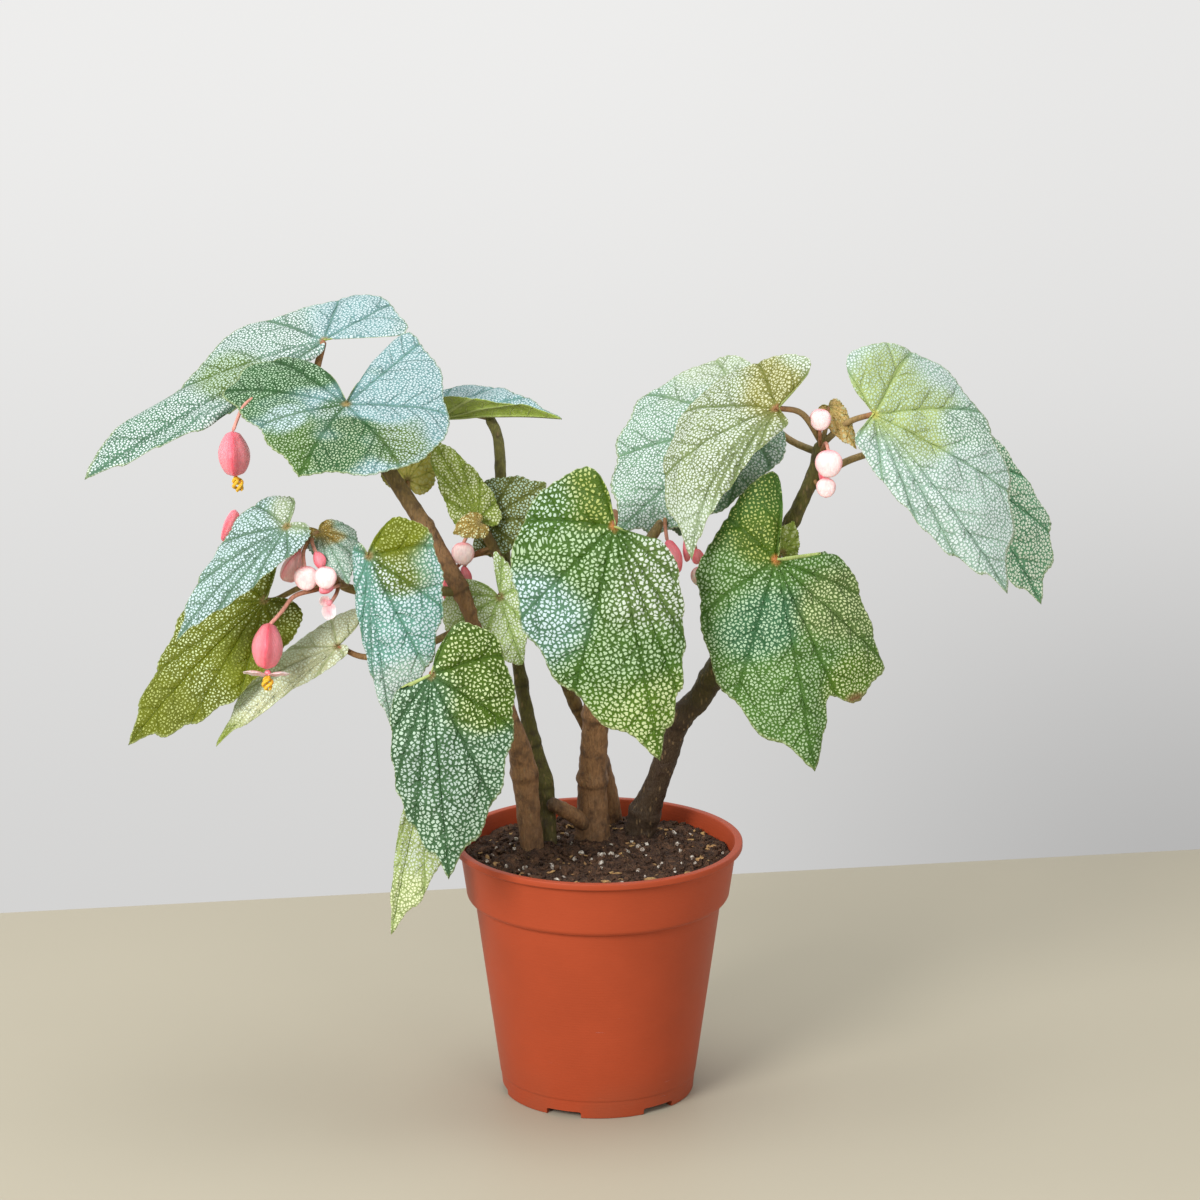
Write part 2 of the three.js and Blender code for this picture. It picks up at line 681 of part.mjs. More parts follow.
    width: [0.25, 0.36], lobe: [0.1, 0.2], belly: [0.2, 0.5],
    bow: 0.05, phase: 3,
  },
  {
    name: "leaf_right_young", colour: "olive", small: true,
    at: [117, 10, 362], tip: [131, 2, 341], face: [0, -0.9, 0.4],
    width: [0.3, 0.3], lobe: [0.1, 0.1],
    bow: 0.05, fold: [-20, -20], phase: 1,
  },
  {
    name: "leaf_right_low", colour: "deep",
    at: [89, -35, 293], tip: [109, -55, 188], face: [0, -0.9, 0.4],
    width: [0.4, 0.42], lobe: [0.42, -0.02], belly: [0.35, 0.4],
    margins: [
      null,
      [
        [0, 0], [0.08, -0.003], [0.2, 0], [0.33, 0.015], [0.39, 0.15], [0.42, 0.35], [0.445, 0.54], [0.44, 0.64],
        [0.37, 0.71], [0.25, 0.74], [0.13, 0.71], [0.1, 0.8], [0.055, 0.93], [0, 1],
      ],
    ],
    bow: 0.06, fold: [-8, -20], skew: 0.6, phase: 1,
  },
  {
    name: "leaf_right_hidden", colour: "lime", small: true,
    at: [93, -14, 291], tip: [99, -8, 307], face: [0.3, -0.9, 0.2],
    width: [0.5, 0.5], lobe: [0.2, 0.2],
    bow: 0.05, phase: 1,
  },
].map((leaf) => ({ ...LEAF_DEFAULTS, ...leaf }));

// Each cane with the limbs that grow from it: shoots, leaf stalks and flower stalks.
const CANES = [
  {
    name: "cane_left", colour: "bark", limbs: [
      {
        path: [
          [-34, -2, STEM_FOOT], [-34, -2, 128], [-36, -3, 150], [-38, -4, 172], [-42, -8, 192],
          [-51, -8, 218], [-61, -3, 248], [-71, 2, 269], [-88, 8, 299], [-107, 14, 328], [-116, 16, 343],
        ],
        radii: [6.2, 6.2, 6, 6.6, 5, 4.8, 4.6, 4.6, 4.4, 4, 3.8], sides: CANE_SIDES,
      },
      { path: [[-38, -4, 168], [-44, -6, 170]], radii: [3.4, 3] },
      { path: [[-114, 16, 338], [-140, 30, 344], [-147, 50, 362], [-142, 60, 387]], radii: [2.4, 2, 1.9, 1.8] },
      { path: [[-115, 16, 340], [-120, 10, 352], [-127, 0, 365]], radii: [2.4, 2, 1.8] },
      { path: [[-97, 11, 314], [-97, 18, 314], [-96, 25, 314]], radii: [1.6, 1.4, 1.2] },
      {
        path: [[-70, 2, 267], [-101, -8, 270], [-128, -16, 274], [-139, -20, 289], [-145, -26, 303]],
        radii: [2.6, 2.4, 2],
      },
      { path: [[-145, -26, 302], [-150, -34, 306], [-155, -40, 311]], radii: [1.4, 1.2, 1.2] },
      { path: [[-144, -25, 300], [-142, -26, 304], [-140, -25, 305]], radii: [1.4, 1.2, 1.2] },
      {
        path: [[-130, -16, 276], [-150, -8, 272], [-164, -6, 265], [-169, -15, 267]],
        radii: [1.6, 1.5, 1.4, 1.2],
      },
      { path: [[-101, -8, 270], [-108, -30, 290], [-114, -48, 298]], radii: [1.8, 1.6, 1.4] },
      { path: [[-63, -1, 252], [-100, -14, 238], [-120, -18, 238], [-132, -20, 244]], radii: [2, 1.8, 1.4] },
      { path: [[-57, -5, 236], [-70, -34, 240], [-83, -62, 243]], radii: [2, 1.8, 1.6] },
      {
        path: [[-45, -8, 200], [-66, -16, 196], [-84, -24, 187], [-88, -35, 182]],
        radii: [1.8, 1.7, 1.6, 1.4],
      },
      {
        path: [
          [-114, 16, 338], [-135, 22, 354], [-158, 22, 363], [-172, 14, 366], [-179, 7, 363], [-185, 4, 347],
        ],
        radii: [1.5, 1.4, 1.3, 1.5, 0.9, 0.9], sides: THREAD_SIDES,
      },
      {
        path: [[-145, -26, 302], [-165, -12, 294], [-184, -10, 294], [-189, -12, 299]],
        radii: [1.2, 1, 0.9], sides: THREAD_SIDES,
      },
      {
        path: [
          [-127, -17, 275], [-130, -30, 279], [-141, -38, 278], [-152, -40, 275], [-158, -43, 268],
          [-164, -47, 260],
        ],
        radii: [1.4, 2, 1.2, 1.2, 1, 1], sides: THREAD_SIDES,
      },
      {
        path: [[-144, -25, 302], [-148, -28, 300], [-150, -30, 293]],
        radii: [1.2, 1, 0.9], sides: THREAD_SIDES,
      },
      {
        path: [[-143, -25, 301], [-143, -34, 302], [-140.5, -40, 296]],
        radii: [1.2, 1, 0.9], sides: THREAD_SIDES,
      },
      {
        path: [[-144, -25, 302], [-147, -38, 297], [-146, -42, 288]],
        radii: [1.2, 1, 0.9], sides: THREAD_SIDES,
      },
      {
        path: [[-130, -30, 279], [-132, -40, 286], [-135, -46, 289]],
        radii: [1.2, 1, 0.9], sides: THREAD_SIDES,
      },
      {
        path: [[-130, -30, 279], [-130, -38, 280], [-133, -42, 280]],
        radii: [1.2, 1, 0.9], sides: THREAD_SIDES,
      },
      {
        path: [[-130, -30, 279], [-131, -40, 276], [-134, -45, 272]],
        radii: [1.2, 1, 0.9], sides: THREAD_SIDES,
      },
    ],
  },
  {
    name: "cane_slim", colour: "greenBark", limbs: [
      {
        path: [
          [-26, 9, STEM_FOOT], [-26, 9, 128], [-28, 12, 162], [-34, 16, 183], [-40, 22, 214], [-46, 30, 255],
          [-50, 36, 297], [-52, 42, 340], [-57, 46, 350],
        ],
        radii: [4.8, 4.8, 4.6, 4, 3.2, 3.1, 3.1, 3, 2.6], sides: CANE_SIDES,
      },
      { path: [[-55, 46, 349], [-68, 50, 350], [-82, 50, 347]], radii: [2.2, 1.8, 1.6] },
    ],
  },
  {
    name: "cane_main", colour: "bark", limbs: [
      {
        path: [
          [-3, 20, STEM_FOOT], [-3, 20, 127], [-3, 18, 162], [-1, 12, 199], [2, 0, 242], [13, -10, 277],
          [28, -8, 299], [37, 2, 312],
        ],
        radii: [9.6, 9.6, 7.4, 6.8, 6.2, 5, 3.2, 2], sides: CANE_SIDES,
      },
      { path: [[-6, 16, 138], [-16, 6, 148], [-26, -2, 156]], radii: [4.6, 4, 3.6] },
      { path: [[2, -1, 244], [4, -24, 292], [8, -44, 319], [8, -55, 315]], radii: [2.2, 2, 1.8] },
      { path: [[35, 0, 310], [38, 5, 314]], radii: [1.4, 1.2] },
      { path: [[34, -2, 308], [34, -12, 304], [35.5, -14, 295]], radii: [1.2, 1, 0.9], sides: THREAD_SIDES },
      { path: [[35, -1, 309], [42, -6, 304], [44, -7, 295]], radii: [1.2, 1, 0.9], sides: THREAD_SIDES },
      { path: [[36, 0, 310], [46, -4, 301], [50, -4, 289]], radii: [1.2, 1, 0.9], sides: THREAD_SIDES },
    ],
  },
  {
    name: "cane_back", colour: "bark", limbs: [
      {
        path: [
          [9, 46, STEM_FOOT], [9, 46, 128], [2, 38, 166], [-12, 28, 200], [-27, 22, 236], [-44, 18, 266],
          [-54, 16, 287], [-60, 12, 300],
        ],
        radii: [4.4, 4.4, 3.8, 3.2, 3, 2.8, 2.6, 2.8], sides: CANE_SIDES,
      },
      { path: [[-59, 13, 298], [-62, 12, 304]], radii: [1.6, 1.4] },
      { path: [[-58, 14, 296], [-65, 9, 297], [-69, 6, 290]], radii: [1.2, 1, 0.9], sides: THREAD_SIDES },
      { path: [[-54, 16, 287], [-64, 11, 284], [-69, 8, 277]], radii: [1.2, 1, 0.9], sides: THREAD_SIDES },
      { path: [[-53, 16, 285], [-68, 18, 280], [-78, 16, 269]], radii: [1.2, 1, 0.9], sides: THREAD_SIDES },
      { path: [[-45, 18, 268], [-48, 8, 268], [-50, -5, 266]], radii: [1.8, 1.6, 1.4] },
      { path: [[-59, 13, 298], [-58, 17, 299], [-57, 20, 300]], radii: [1.6, 1.4, 1.2] },
      { path: [[-59, 12, 298], [-60, 6, 301], [-60, 2, 303]], radii: [1.6, 1.4, 1.2] },
    ],
  },
  {
    name: "cane_right", colour: "bark", limbs: [
      {
        path: [
          [22, 32, STEM_FOOT], [22, 32, 128], [24, 31, 138], [30, 26, 155], [36, 20, 175], [42, 14, 196],
          [51, 12, 206], [58, 10, 218], [74, 2, 257], [88, 2, 284], [99, 4, 304], [110, 6, 329],
          [114, 8, 345],
        ],
        radii: [8, 9, 8, 6.2, 6, 6.4, 6, 5, 4.6, 4, 3.8, 3.6, 3.8], sides: CANE_SIDES,
      },
      { path: [[44, 13, 197], [41, 11, 205]], radii: [3.4, 2.6] },
      { path: [[114, 7, 343], [102, -8, 362], [89, -20, 367]], radii: [1.8, 1.6, 1.4] },
      { path: [[113, 7, 338], [99, 18, 342], [86, 24, 350], [77, 16.5, 353]], radii: [2, 1.8, 1.7, 1.5] },
      { path: [[114, 8, 343], [126, 6, 354], [139, -5, 361]], radii: [1.8, 1.6, 1.4] },
      { path: [[106, 6, 318], [124, 10, 332], [150, 24, 336], [179, 40, 330]], radii: [2, 1.8, 1.6] },
      { path: [[114, 8, 344], [116, 9, 354], [117, 10, 362]], radii: [1.4, 1.2, 1] },
      { path: [[82, 2, 272], [84, -16, 290], [89, -35, 293]], radii: [2.2, 2, 1.6] },
      { path: [[88, 2, 284], [92, -6, 288], [93, -14, 291]], radii: [1.2, 1.1, 1] },
      { path: [[113, 7, 340], [112, -1, 350], [112, -3, 359]], radii: [1.2, 1, 0.9], sides: THREAD_SIDES },
      { path: [[113, 7, 338], [115, -6, 346], [116, -12, 341]], radii: [1.2, 1, 0.9], sides: THREAD_SIDES },
      { path: [[112, 6, 334], [113, -2, 339], [113, -4, 334]], radii: [1.2, 1, 0.9], sides: THREAD_SIDES },
      { path: [[109, 5, 326], [113, -2, 322], [115, -9, 326]], radii: [1.2, 1, 0.9], sides: THREAD_SIDES },
    ],
  },
];

// Each bloom's pieces, from the stalk's end outwards.
const BLOOMS = [
  {
    name: "seed_case_left_high", colour: "coral", shape: ovary,
    at: [-185, 4, 350], tip: [-184, 4, 327], wide: 12.5, turn: 90,
  },
  { name: "stigma_left_high", colour: "yellow", shape: stigma, at: [-184, 4, 325.8], tip: [-182, 4, 319] },
  {
    name: "seed_case_left_behind", colour: "coral", shape: ovary,
    at: [-190, -12, 297], tip: [-183, -12, 313], wide: 4.4,
  },
  {
    name: "seed_case_cluster_wide", colour: "blush", shape: ovary,
    at: [-149, -30, 296], tip: [-158, -31, 281], wide: 7,
  },
  {
    name: "seed_case_cluster_high", colour: "coral", shape: ovary,
    at: [-141, -40, 298], tip: [-138, -42, 290], wide: 4,
  },
  {
    name: "bud_cluster_left", colour: "blush", shape: closedBud,
    at: [-146, -41, 291], tip: [-145, -44, 279],
  },
  {
    name: "bud_cluster_right", colour: "blush", shape: closedBud,
    at: [-135, -46, 292], tip: [-136, -49, 281],
  },
  {
    name: "seed_case_cluster_low", colour: "coral", shape: ovary,
    at: [-132, -42, 280], tip: [-139, -45, 279], wide: 3.6,
  },
  {
    name: "petals_cluster", colour: "blush", shape: openPetals, at: [-134, -45, 273], face: [0, -1, 0.2],
    tips: [[-134, -48, 265], [-139, -48, 276]],
  },
  {
    name: "seed_case_left_low", colour: "coral", shape: ovary,
    at: [-164, -47, 263], tip: [-166, -49, 240], wide: 12, turn: 90,
  },
  {
    name: "petals_left_low", colour: "blush", shape: openPetals, at: [-165, -50, 238], face: [0, -0.4, -1],
    tips: [[-177, -53, 241], [-154, -53, 240]],
  },
  { name: "stigma_left_low", colour: "yellow", shape: stigma, at: [-165, -52, 235], tip: [-165, -54, 230] },
  { name: "bud_back", colour: "blush", shape: closedBud, at: [-69, 6, 292], tip: [-69, 5, 280] },
  {
    name: "seed_case_back_near", colour: "coral", shape: ovary,
    at: [-69, 8, 279], tip: [-68, 8, 267], wide: 4,
  },
  {
    name: "seed_case_back_far", colour: "coral", shape: ovary,
    at: [-78, 16, 271], tip: [-78, 16, 259], wide: 4,
  },
  {
    name: "seed_case_main_wide", colour: "coral", shape: ovary,
    at: [35, -14, 298], tip: [39, -15, 280], wide: 5.6,
  },
  {
    name: "seed_case_main_slim", colour: "coral", shape: ovary,
    at: [44, -7, 297], tip: [45, -8, 285], wide: 2.6,
  },
  {
    name: "seed_case_main_right", colour: "coral", shape: ovary,
    at: [50, -4, 291], tip: [50, -5, 283], wide: 4,
  },
  { name: "bud_main", colour: "blush", shape: closedBud, at: [52, -5, 282], tip: [52, -7, 272] },
  { name: "bud_right_high", colour: "blush", shape: closedBud, at: [112, -2, 363], tip: [112, -4, 352] },
  { name: "bud_right_mid", colour: "blush", shape: closedBud, at: [116, -12, 344], tip: [116, -14, 330] },
  {
    name: "seed_case_right", colour: "coral", shape: ovary,
    at: [113, -4, 337], tip: [114, -5, 325], wide: 3.6,
  },
  { name: "bud_right_low", colour: "blush", shape: closedBud, at: [115, -9, 329], tip: [115, -11, 319] },
];

// A cane with all its limbs, cut clear of the blades that the leaf stalks end in.
function caneSolid(cane, rooms) {
  return largestBody(cut(joined(cane.limbs.map((part) => limb(part))), rooms));
}

function caneRoom(cane) {
  return joined(cane.limbs.map((part) => limb(part, GAP)));
}

function meshOf(name, colour, solid) {
  const material = new THREE.MeshStandardMaterial({ color: COLOURS[colour], roughness: 0.6, metalness: 0 });
  const mesh = new THREE.Mesh(geometryFrom(solid), material);
  mesh.name = name;
  return mesh;
}

function buildPlant() {
  const group = new THREE.Group();
  const add = (name, colour, solid) => group.add(meshOf(name, colour, solid));
  const leafRooms = LEAVES.map(leafRoom);
  const caneRooms = CANES.map(caneRoom);
  add("pot", "pot", potSolid());
  add("soil", "soil", soilSolid(caneRooms));
  CANES.forEach((cane) => add(cane.name, cane.colour, caneSolid(cane, leafRooms)));
  LEAVES.forEach((leaf) => add(leaf.name, leaf.colour, leafSolid(leaf)));
  BLOOMS.forEach((bloom) => {
    add(bloom.name, bloom.colour, largestBody(cut(bloom.shape(bloom), caneRooms)));
  });
  return group;
}

export default buildPlant();
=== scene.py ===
# A potted begonia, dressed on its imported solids: fine blades, stems, blooms, pot and compost, each with its
# own material. The tables are in millimetres, as in the solids' source, and the meshes are made in metres.
import math

import bmesh
import bpy
import numpy as np
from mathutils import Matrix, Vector


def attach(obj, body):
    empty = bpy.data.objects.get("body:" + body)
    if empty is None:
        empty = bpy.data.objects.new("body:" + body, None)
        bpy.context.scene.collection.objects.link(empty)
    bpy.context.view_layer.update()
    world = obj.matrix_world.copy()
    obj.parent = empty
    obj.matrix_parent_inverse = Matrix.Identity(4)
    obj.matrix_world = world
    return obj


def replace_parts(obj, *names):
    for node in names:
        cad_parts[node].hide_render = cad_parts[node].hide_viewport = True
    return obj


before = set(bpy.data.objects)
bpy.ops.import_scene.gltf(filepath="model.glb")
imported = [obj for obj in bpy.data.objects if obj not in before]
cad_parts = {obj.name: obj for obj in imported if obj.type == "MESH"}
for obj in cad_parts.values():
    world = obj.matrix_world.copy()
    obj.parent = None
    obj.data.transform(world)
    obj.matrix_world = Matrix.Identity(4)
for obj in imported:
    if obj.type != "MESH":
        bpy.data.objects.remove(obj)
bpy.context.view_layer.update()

MILLIMETRE = 0.001

# ---------------------------------------------------------------- colours, as 8-bit screen values

PALETTE = {
    # the networks of the leaves, from dark to light; the bluish ones are partly a painted reflection of the
    # sky, and some of the palest paint light shining through leaves at the back
    "forest": (40, 80, 38), "thicket": (56, 90, 22), "pine": (58, 92, 58), "grass": (64, 90, 8),
    "olive": (92, 100, 4), "leaf": (66, 102, 36), "teal": (50, 94, 58), "meadow": (76, 106, 22),
    "sea": (76, 114, 90), "fern": (82, 106, 50), "mustard": (100, 110, 4), "mist": (94, 124, 108),
    "khaki": (96, 102, 44), "fresh": (112, 112, 48), "lagoon": (92, 140, 126), "steel": (100, 137, 138),
    "sage": (114, 128, 84), "willow": (110, 142, 118), "celery": (98, 148, 112), "lichen": (136, 152, 118),
    "hay": (136, 152, 62), "wheat": (150, 124, 60), "lettuce": (150, 166, 104), "silvered": (134, 162, 146),
    "pistachio": (160, 182, 112), "tawny": (188, 158, 98), "gold": (206, 196, 106), "umber": (110, 80, 48),
    "parchment": (192, 196, 158),
    # their pale spots; the bluish ones are partly a painted reflection of the sky, and some of the brightest
    # paint light shining through leaves at the back
    "pear": (166, 176, 100), "lime": (184, 198, 96), "moon": (148, 168, 134), "fade": (156, 184, 152),
    "haze": (166, 184, 174), "mint": (160, 184, 144), "frost": (172, 194, 174), "ice": (182, 200, 203),
    "butter": (188, 190, 150), "cream": (188, 202, 150), "chalk": (194, 204, 192),
    "glacier": (186, 206, 210), "snow": (200, 212, 210), "milk": (202, 216, 208),
    "linen": (226, 234, 190), "pearl": (224, 236, 216), "tan": (176, 140, 100),
    # their hearts, rims and undersides
    "orange": (182, 112, 58), "rust": (146, 96, 64), "leafstalk": (146, 122, 78), "rim": (186, 198, 138),
    "under": (140, 162, 62),
    # limbs
    "bark": (148, 110, 74), "bark_dark": (70, 54, 37), "bark_pale": (158, 130, 92),
    "bark_green": (94, 90, 40), "scar": (60, 44, 34), "stem_green": (118, 114, 62), "pink": (214, 150, 138),
    # blooms
    "coral": (237, 94, 114), "rose": (243, 144, 156), "blush": (246, 196, 198), "petal": (250, 224, 224),
    "ruby": (214, 66, 88), "yellow": (246, 206, 62), "amber": (236, 176, 44),
    # pot, compost and surroundings
    "pot": (164, 68, 38), "soil": (57, 38, 28), "soil_pale": (102, 73, 54),
    "perlite": (226, 222, 212), "chip": (184, 152, 100),
    "floor": (171, 164, 146),
}


def linear(name):
    """A palette colour as linear light."""
    screen = np.array(PALETTE[name]) / 255
    return np.where(screen <= 0.04045, screen / 12.92, ((screen + 0.055) / 1.055) ** 2.4)


def rgba(name):
    return (*linear(name), 1)


# ---------------------------------------------------------------- shared maths


def unit(vectors):
    """Vectors of the same directions, one long."""
    return vectors / np.maximum(np.linalg.norm(vectors, axis=-1, keepdims=True), 1e-9)


def smooth_step(low, high, value):
    """From 0 at low to 1 at high, easing in and out; low may be above high."""
    share = np.clip((value - low) / (high - low), 0, 1)
    return share * share * (3 - 2 * share)


def ripple(places, seed, size, waves=9):
    """Smooth noise between about -1 and 1 at each place, with bumps about the given size."""
    draw = np.random.default_rng(seed)
    ways = unit(draw.normal(size=(waves, places.shape[-1])))
    lengths = size * draw.uniform(0.7, 1.6, waves)
    phases = draw.uniform(0, 2 * math.pi, waves)
    return np.sin(places @ (ways / lengths[:, None]).T * 2 * math.pi + phases).sum(-1) / math.sqrt(waves)


def smooth_curve(points, per_span=24):
    """Many points along a centripetal curve through the given ones, and each one's share of its length."""
    points = np.array(points, float)
    ends = (2 * points[0] - points[1], 2 * points[-1] - points[-2])
    all_points = np.vstack([ends[0], points, ends[1]])
    spans = []
    for index in range(len(points) - 1):
        p0, p1, p2, p3 = all_points[index:index + 4]
        d0, d1, d2 = (np.linalg.norm(b - a) ** 0.5 for a, b in ((p0, p1), (p1, p2), (p2, p3)))
        start = ((p1 - p0) / d0 - (p2 - p0) / (d0 + d1) + (p2 - p1) / d1) * d1
        end = ((p2 - p1) / d1 - (p3 - p1) / (d1 + d2) + (p3 - p2) / d2) * d1
        t = np.linspace(0, 1, per_span, endpoint=False)[:, None]
        cubic = (2 * p1 - 2 * p2 + start + end) * t ** 3 + (3 * p2 - 3 * p1 - 2 * start - end) * t ** 2
        spans.append(cubic + start * t + p1)
    line = np.vstack([*spans, points[-1]])
    steps = np.concatenate([[0], np.cumsum(np.linalg.norm(np.diff(line, axis=0), axis=1))])
    return line, steps


def along_curve(points, shares):
    """Points at the given shares of the length of a smooth curve."""
    line, steps = smooth_curve(points)
    wanted = np.asarray(shares) * steps[-1]
    return np.stack([np.interp(wanted, steps, line[:, axis]) for axis in range(line.shape[1])], axis=1)


# ---------------------------------------------------------------- meshes


class Form:
    """Points, faces and per-point values gathered for one mesh."""

    def __init__(self):
        self.points = []
        self.faces = []
        self.slots = []
        self.values = {}
        self.total = 0

    def add(self, points, faces, slot=0, **values):
        self.points.append(points)
        self.faces += [[corner + self.total for corner in face] for face in faces]
        self.slots += [slot] * len(faces)
        for name, value in values.items():
            self.values.setdefault(name, []).append(np.broadcast_to(value, (len(points), len(value[0]))))
        self.total += len(points)

    def mesh(self, name, *materials):
        mesh = bpy.data.meshes.new(name)
        mesh.from_pydata((np.vstack(self.points) * MILLIMETRE).tolist(), [], self.faces)
        mesh.polygons.foreach_set("material_index", self.slots)
        mesh.polygons.foreach_set("use_smooth", [True] * len(self.faces))
        for key, parts in self.values.items():
            table = np.vstack(parts)
            kind = {4: "FLOAT_COLOR", 3: "FLOAT_VECTOR"}[table.shape[1]]
            field = mesh.attributes.new(key, kind, "POINT")
            field.data.foreach_set("color" if kind == "FLOAT_COLOR" else "vector", table.ravel())
        for material in materials:
            mesh.materials.append(material)
        mesh.update()
        return mesh


def new_object(name, data):
    """An object of the scene that shows the given mesh, light or camera."""
    piece = bpy.data.objects.new(name, data)
    bpy.context.scene.collection.objects.link(piece)
    return piece


def place(name, mesh):
    """One piece of the object, riding on the root body."""
    piece = new_object(name, mesh)
    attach(piece, "root")
    return piece


def stand_in(node, mesh):
    """A fine piece in place of the plain solid of that name."""
    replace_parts(place(node + "_fine", mesh), node)


def grid_faces(rows, columns, closed=True):
    """Quads between rows of points; a closed grid joins its last column to its first."""
    faces = []
    for row in range(rows - 1):
        for column in range(columns if closed else columns - 1):
            a = row * columns + column
            b = row * columns + (column + 1) % columns
            faces.append((a, b, b + columns, a + columns))
    return faces


def capped_faces(rows, columns):
    """A closed grid's quads, with fans that close its first and last row at two points after the grid."""
    faces = grid_faces(rows, columns)
    last = (rows - 1) * columns
    for side in range(columns):
        after = (side + 1) % columns
        faces.append((rows * columns, after, side))
        faces.append((rows * columns + 1, last + side, last + after))
    return faces


def round_angles(sides):
    """Evenly spaced angles of a full turn."""
    return np.linspace(0, 2 * math.pi, sides, endpoint=False)


# ---------------------------------------------------------------- materials


class Shade:
    """One material's nodes. A number, a colour or another node's output goes into any named input."""

    def __init__(self, name, **settings):
        self.material = bpy.data.materials.new(name)
        self.material.use_nodes = True
        self.tree = self.material.node_tree
        self.shader = next(node for node in self.tree.nodes if node.type == "BSDF_PRINCIPLED")
        for key, value in settings.items():
            self.shader.inputs[key.replace("_", " ")].default_value = value

    def add(self, kind, inputs, out=0, **settings):
        node = self.tree.nodes.new("ShaderNode" + kind)
        for key, value in settings.items():
            setattr(node, key, value)
        for key, value in inputs.items():
            self.put(node.inputs[key], value)
        return node.outputs[out]

    def put(self, socket, value):
        if isinstance(value, bpy.types.NodeSocket):
            self.tree.links.new(value, socket)
        else:
            socket.default_value = value

    def math(self, operation, first, second=0.0, third=0.0):
        return self.add("Math", {0: first, 1: second, 2: third}, operation=operation)

    def times(self, first, second):
        return self.math("MULTIPLY", first, second)

    def plus(self, first, second):
        return self.math("ADD", first, second)

    def times_plus(self, first, second, third):
        return self.math("MULTIPLY_ADD", first, second, third)

    def larger(self, first, second):
        return self.math("MAXIMUM", first, second)

    def fade(self, value, low, high, start=0.0, end=1.0):
        """A value carried smoothly from low..high to start..end, and held beyond them."""
        inputs = {"Value": value, "From Min": low, "From Max": high, "To Min": start, "To Max": end}
        return self.add("MapRange", inputs, interpolation_type="SMOOTHSTEP")

    def toned(self, colour, value):
        """The colour, brighter where the value is above 1 and darker below it."""
        return self.add("HueSaturation", {"Color": colour, "Value": value})

    def drawn_out(self, at, scale):
        """A place that changes slowly upwards, so that patterns run lengthwise."""
        return self.add("Mapping", {"Vector": at, "Scale": (1.0, 1.0, scale)})

    def mix(self, share, first, second, blend="MIX"):
        inputs = {"Factor": share, 6: first, 7: second}
        return self.add("Mix", inputs, out=2, data_type="RGBA", blend_type=blend)

    def noise(self, at, scale, detail=2.0, rough=0.5, distortion=0.0, out=0):
        inputs = {"Vector": at, "Scale": scale, "Detail": detail, "Roughness": rough}
        return self.add("TexNoise", {**inputs, "Distortion": distortion}, out=out)

    def cells(self, at, scale, feature="F1", random=1.0, dimensions="3D"):
        inputs = {"Vector": at, "Scale": scale, "Randomness": random}
        return self.add("TexVoronoi", inputs, voronoi_dimensions=dimensions, feature=feature)

    def field(self, name, out="Vector"):
        return self.add("Attribute", {}, out=out, attribute_name=name)

    def parts(self, vector):
        node = self.tree.nodes.new("ShaderNodeSeparateXYZ")
        self.put(node.inputs[0], vector)
        return node.outputs

    def place(self):
        """The point on the resting object, in metres."""
        return self.add("TexCoord", {}, out="Object")

    def bump(self, height, distance, strength=1.0, under=None):
        inputs = {"Height": height, "Distance": distance, "Strength": strength}
        if under is not None:
            inputs["Normal"] = under
        return self.add("Bump", inputs)

    def finish(self, **inputs):
        for key, value in inputs.items():
            self.put(self.shader.inputs[key.replace("_", " ")], value)
        return self.material


DRIFT_SCALE = 0.1  # of the slow wander of the leaves' patterns
CELL_SCALE = 0.43  # of the pale spots
VEIN_TINT = (0.74, 0.84, 0.64, 1)  # darkens the network along the veins


def lesser_veins(shade, drift, net):
    """How far a place is from the nearest lesser vein; these wander a little between the main ones."""
    return shade.math("PINGPONG", shade.times_plus(drift, 0.3, net), 0.5)


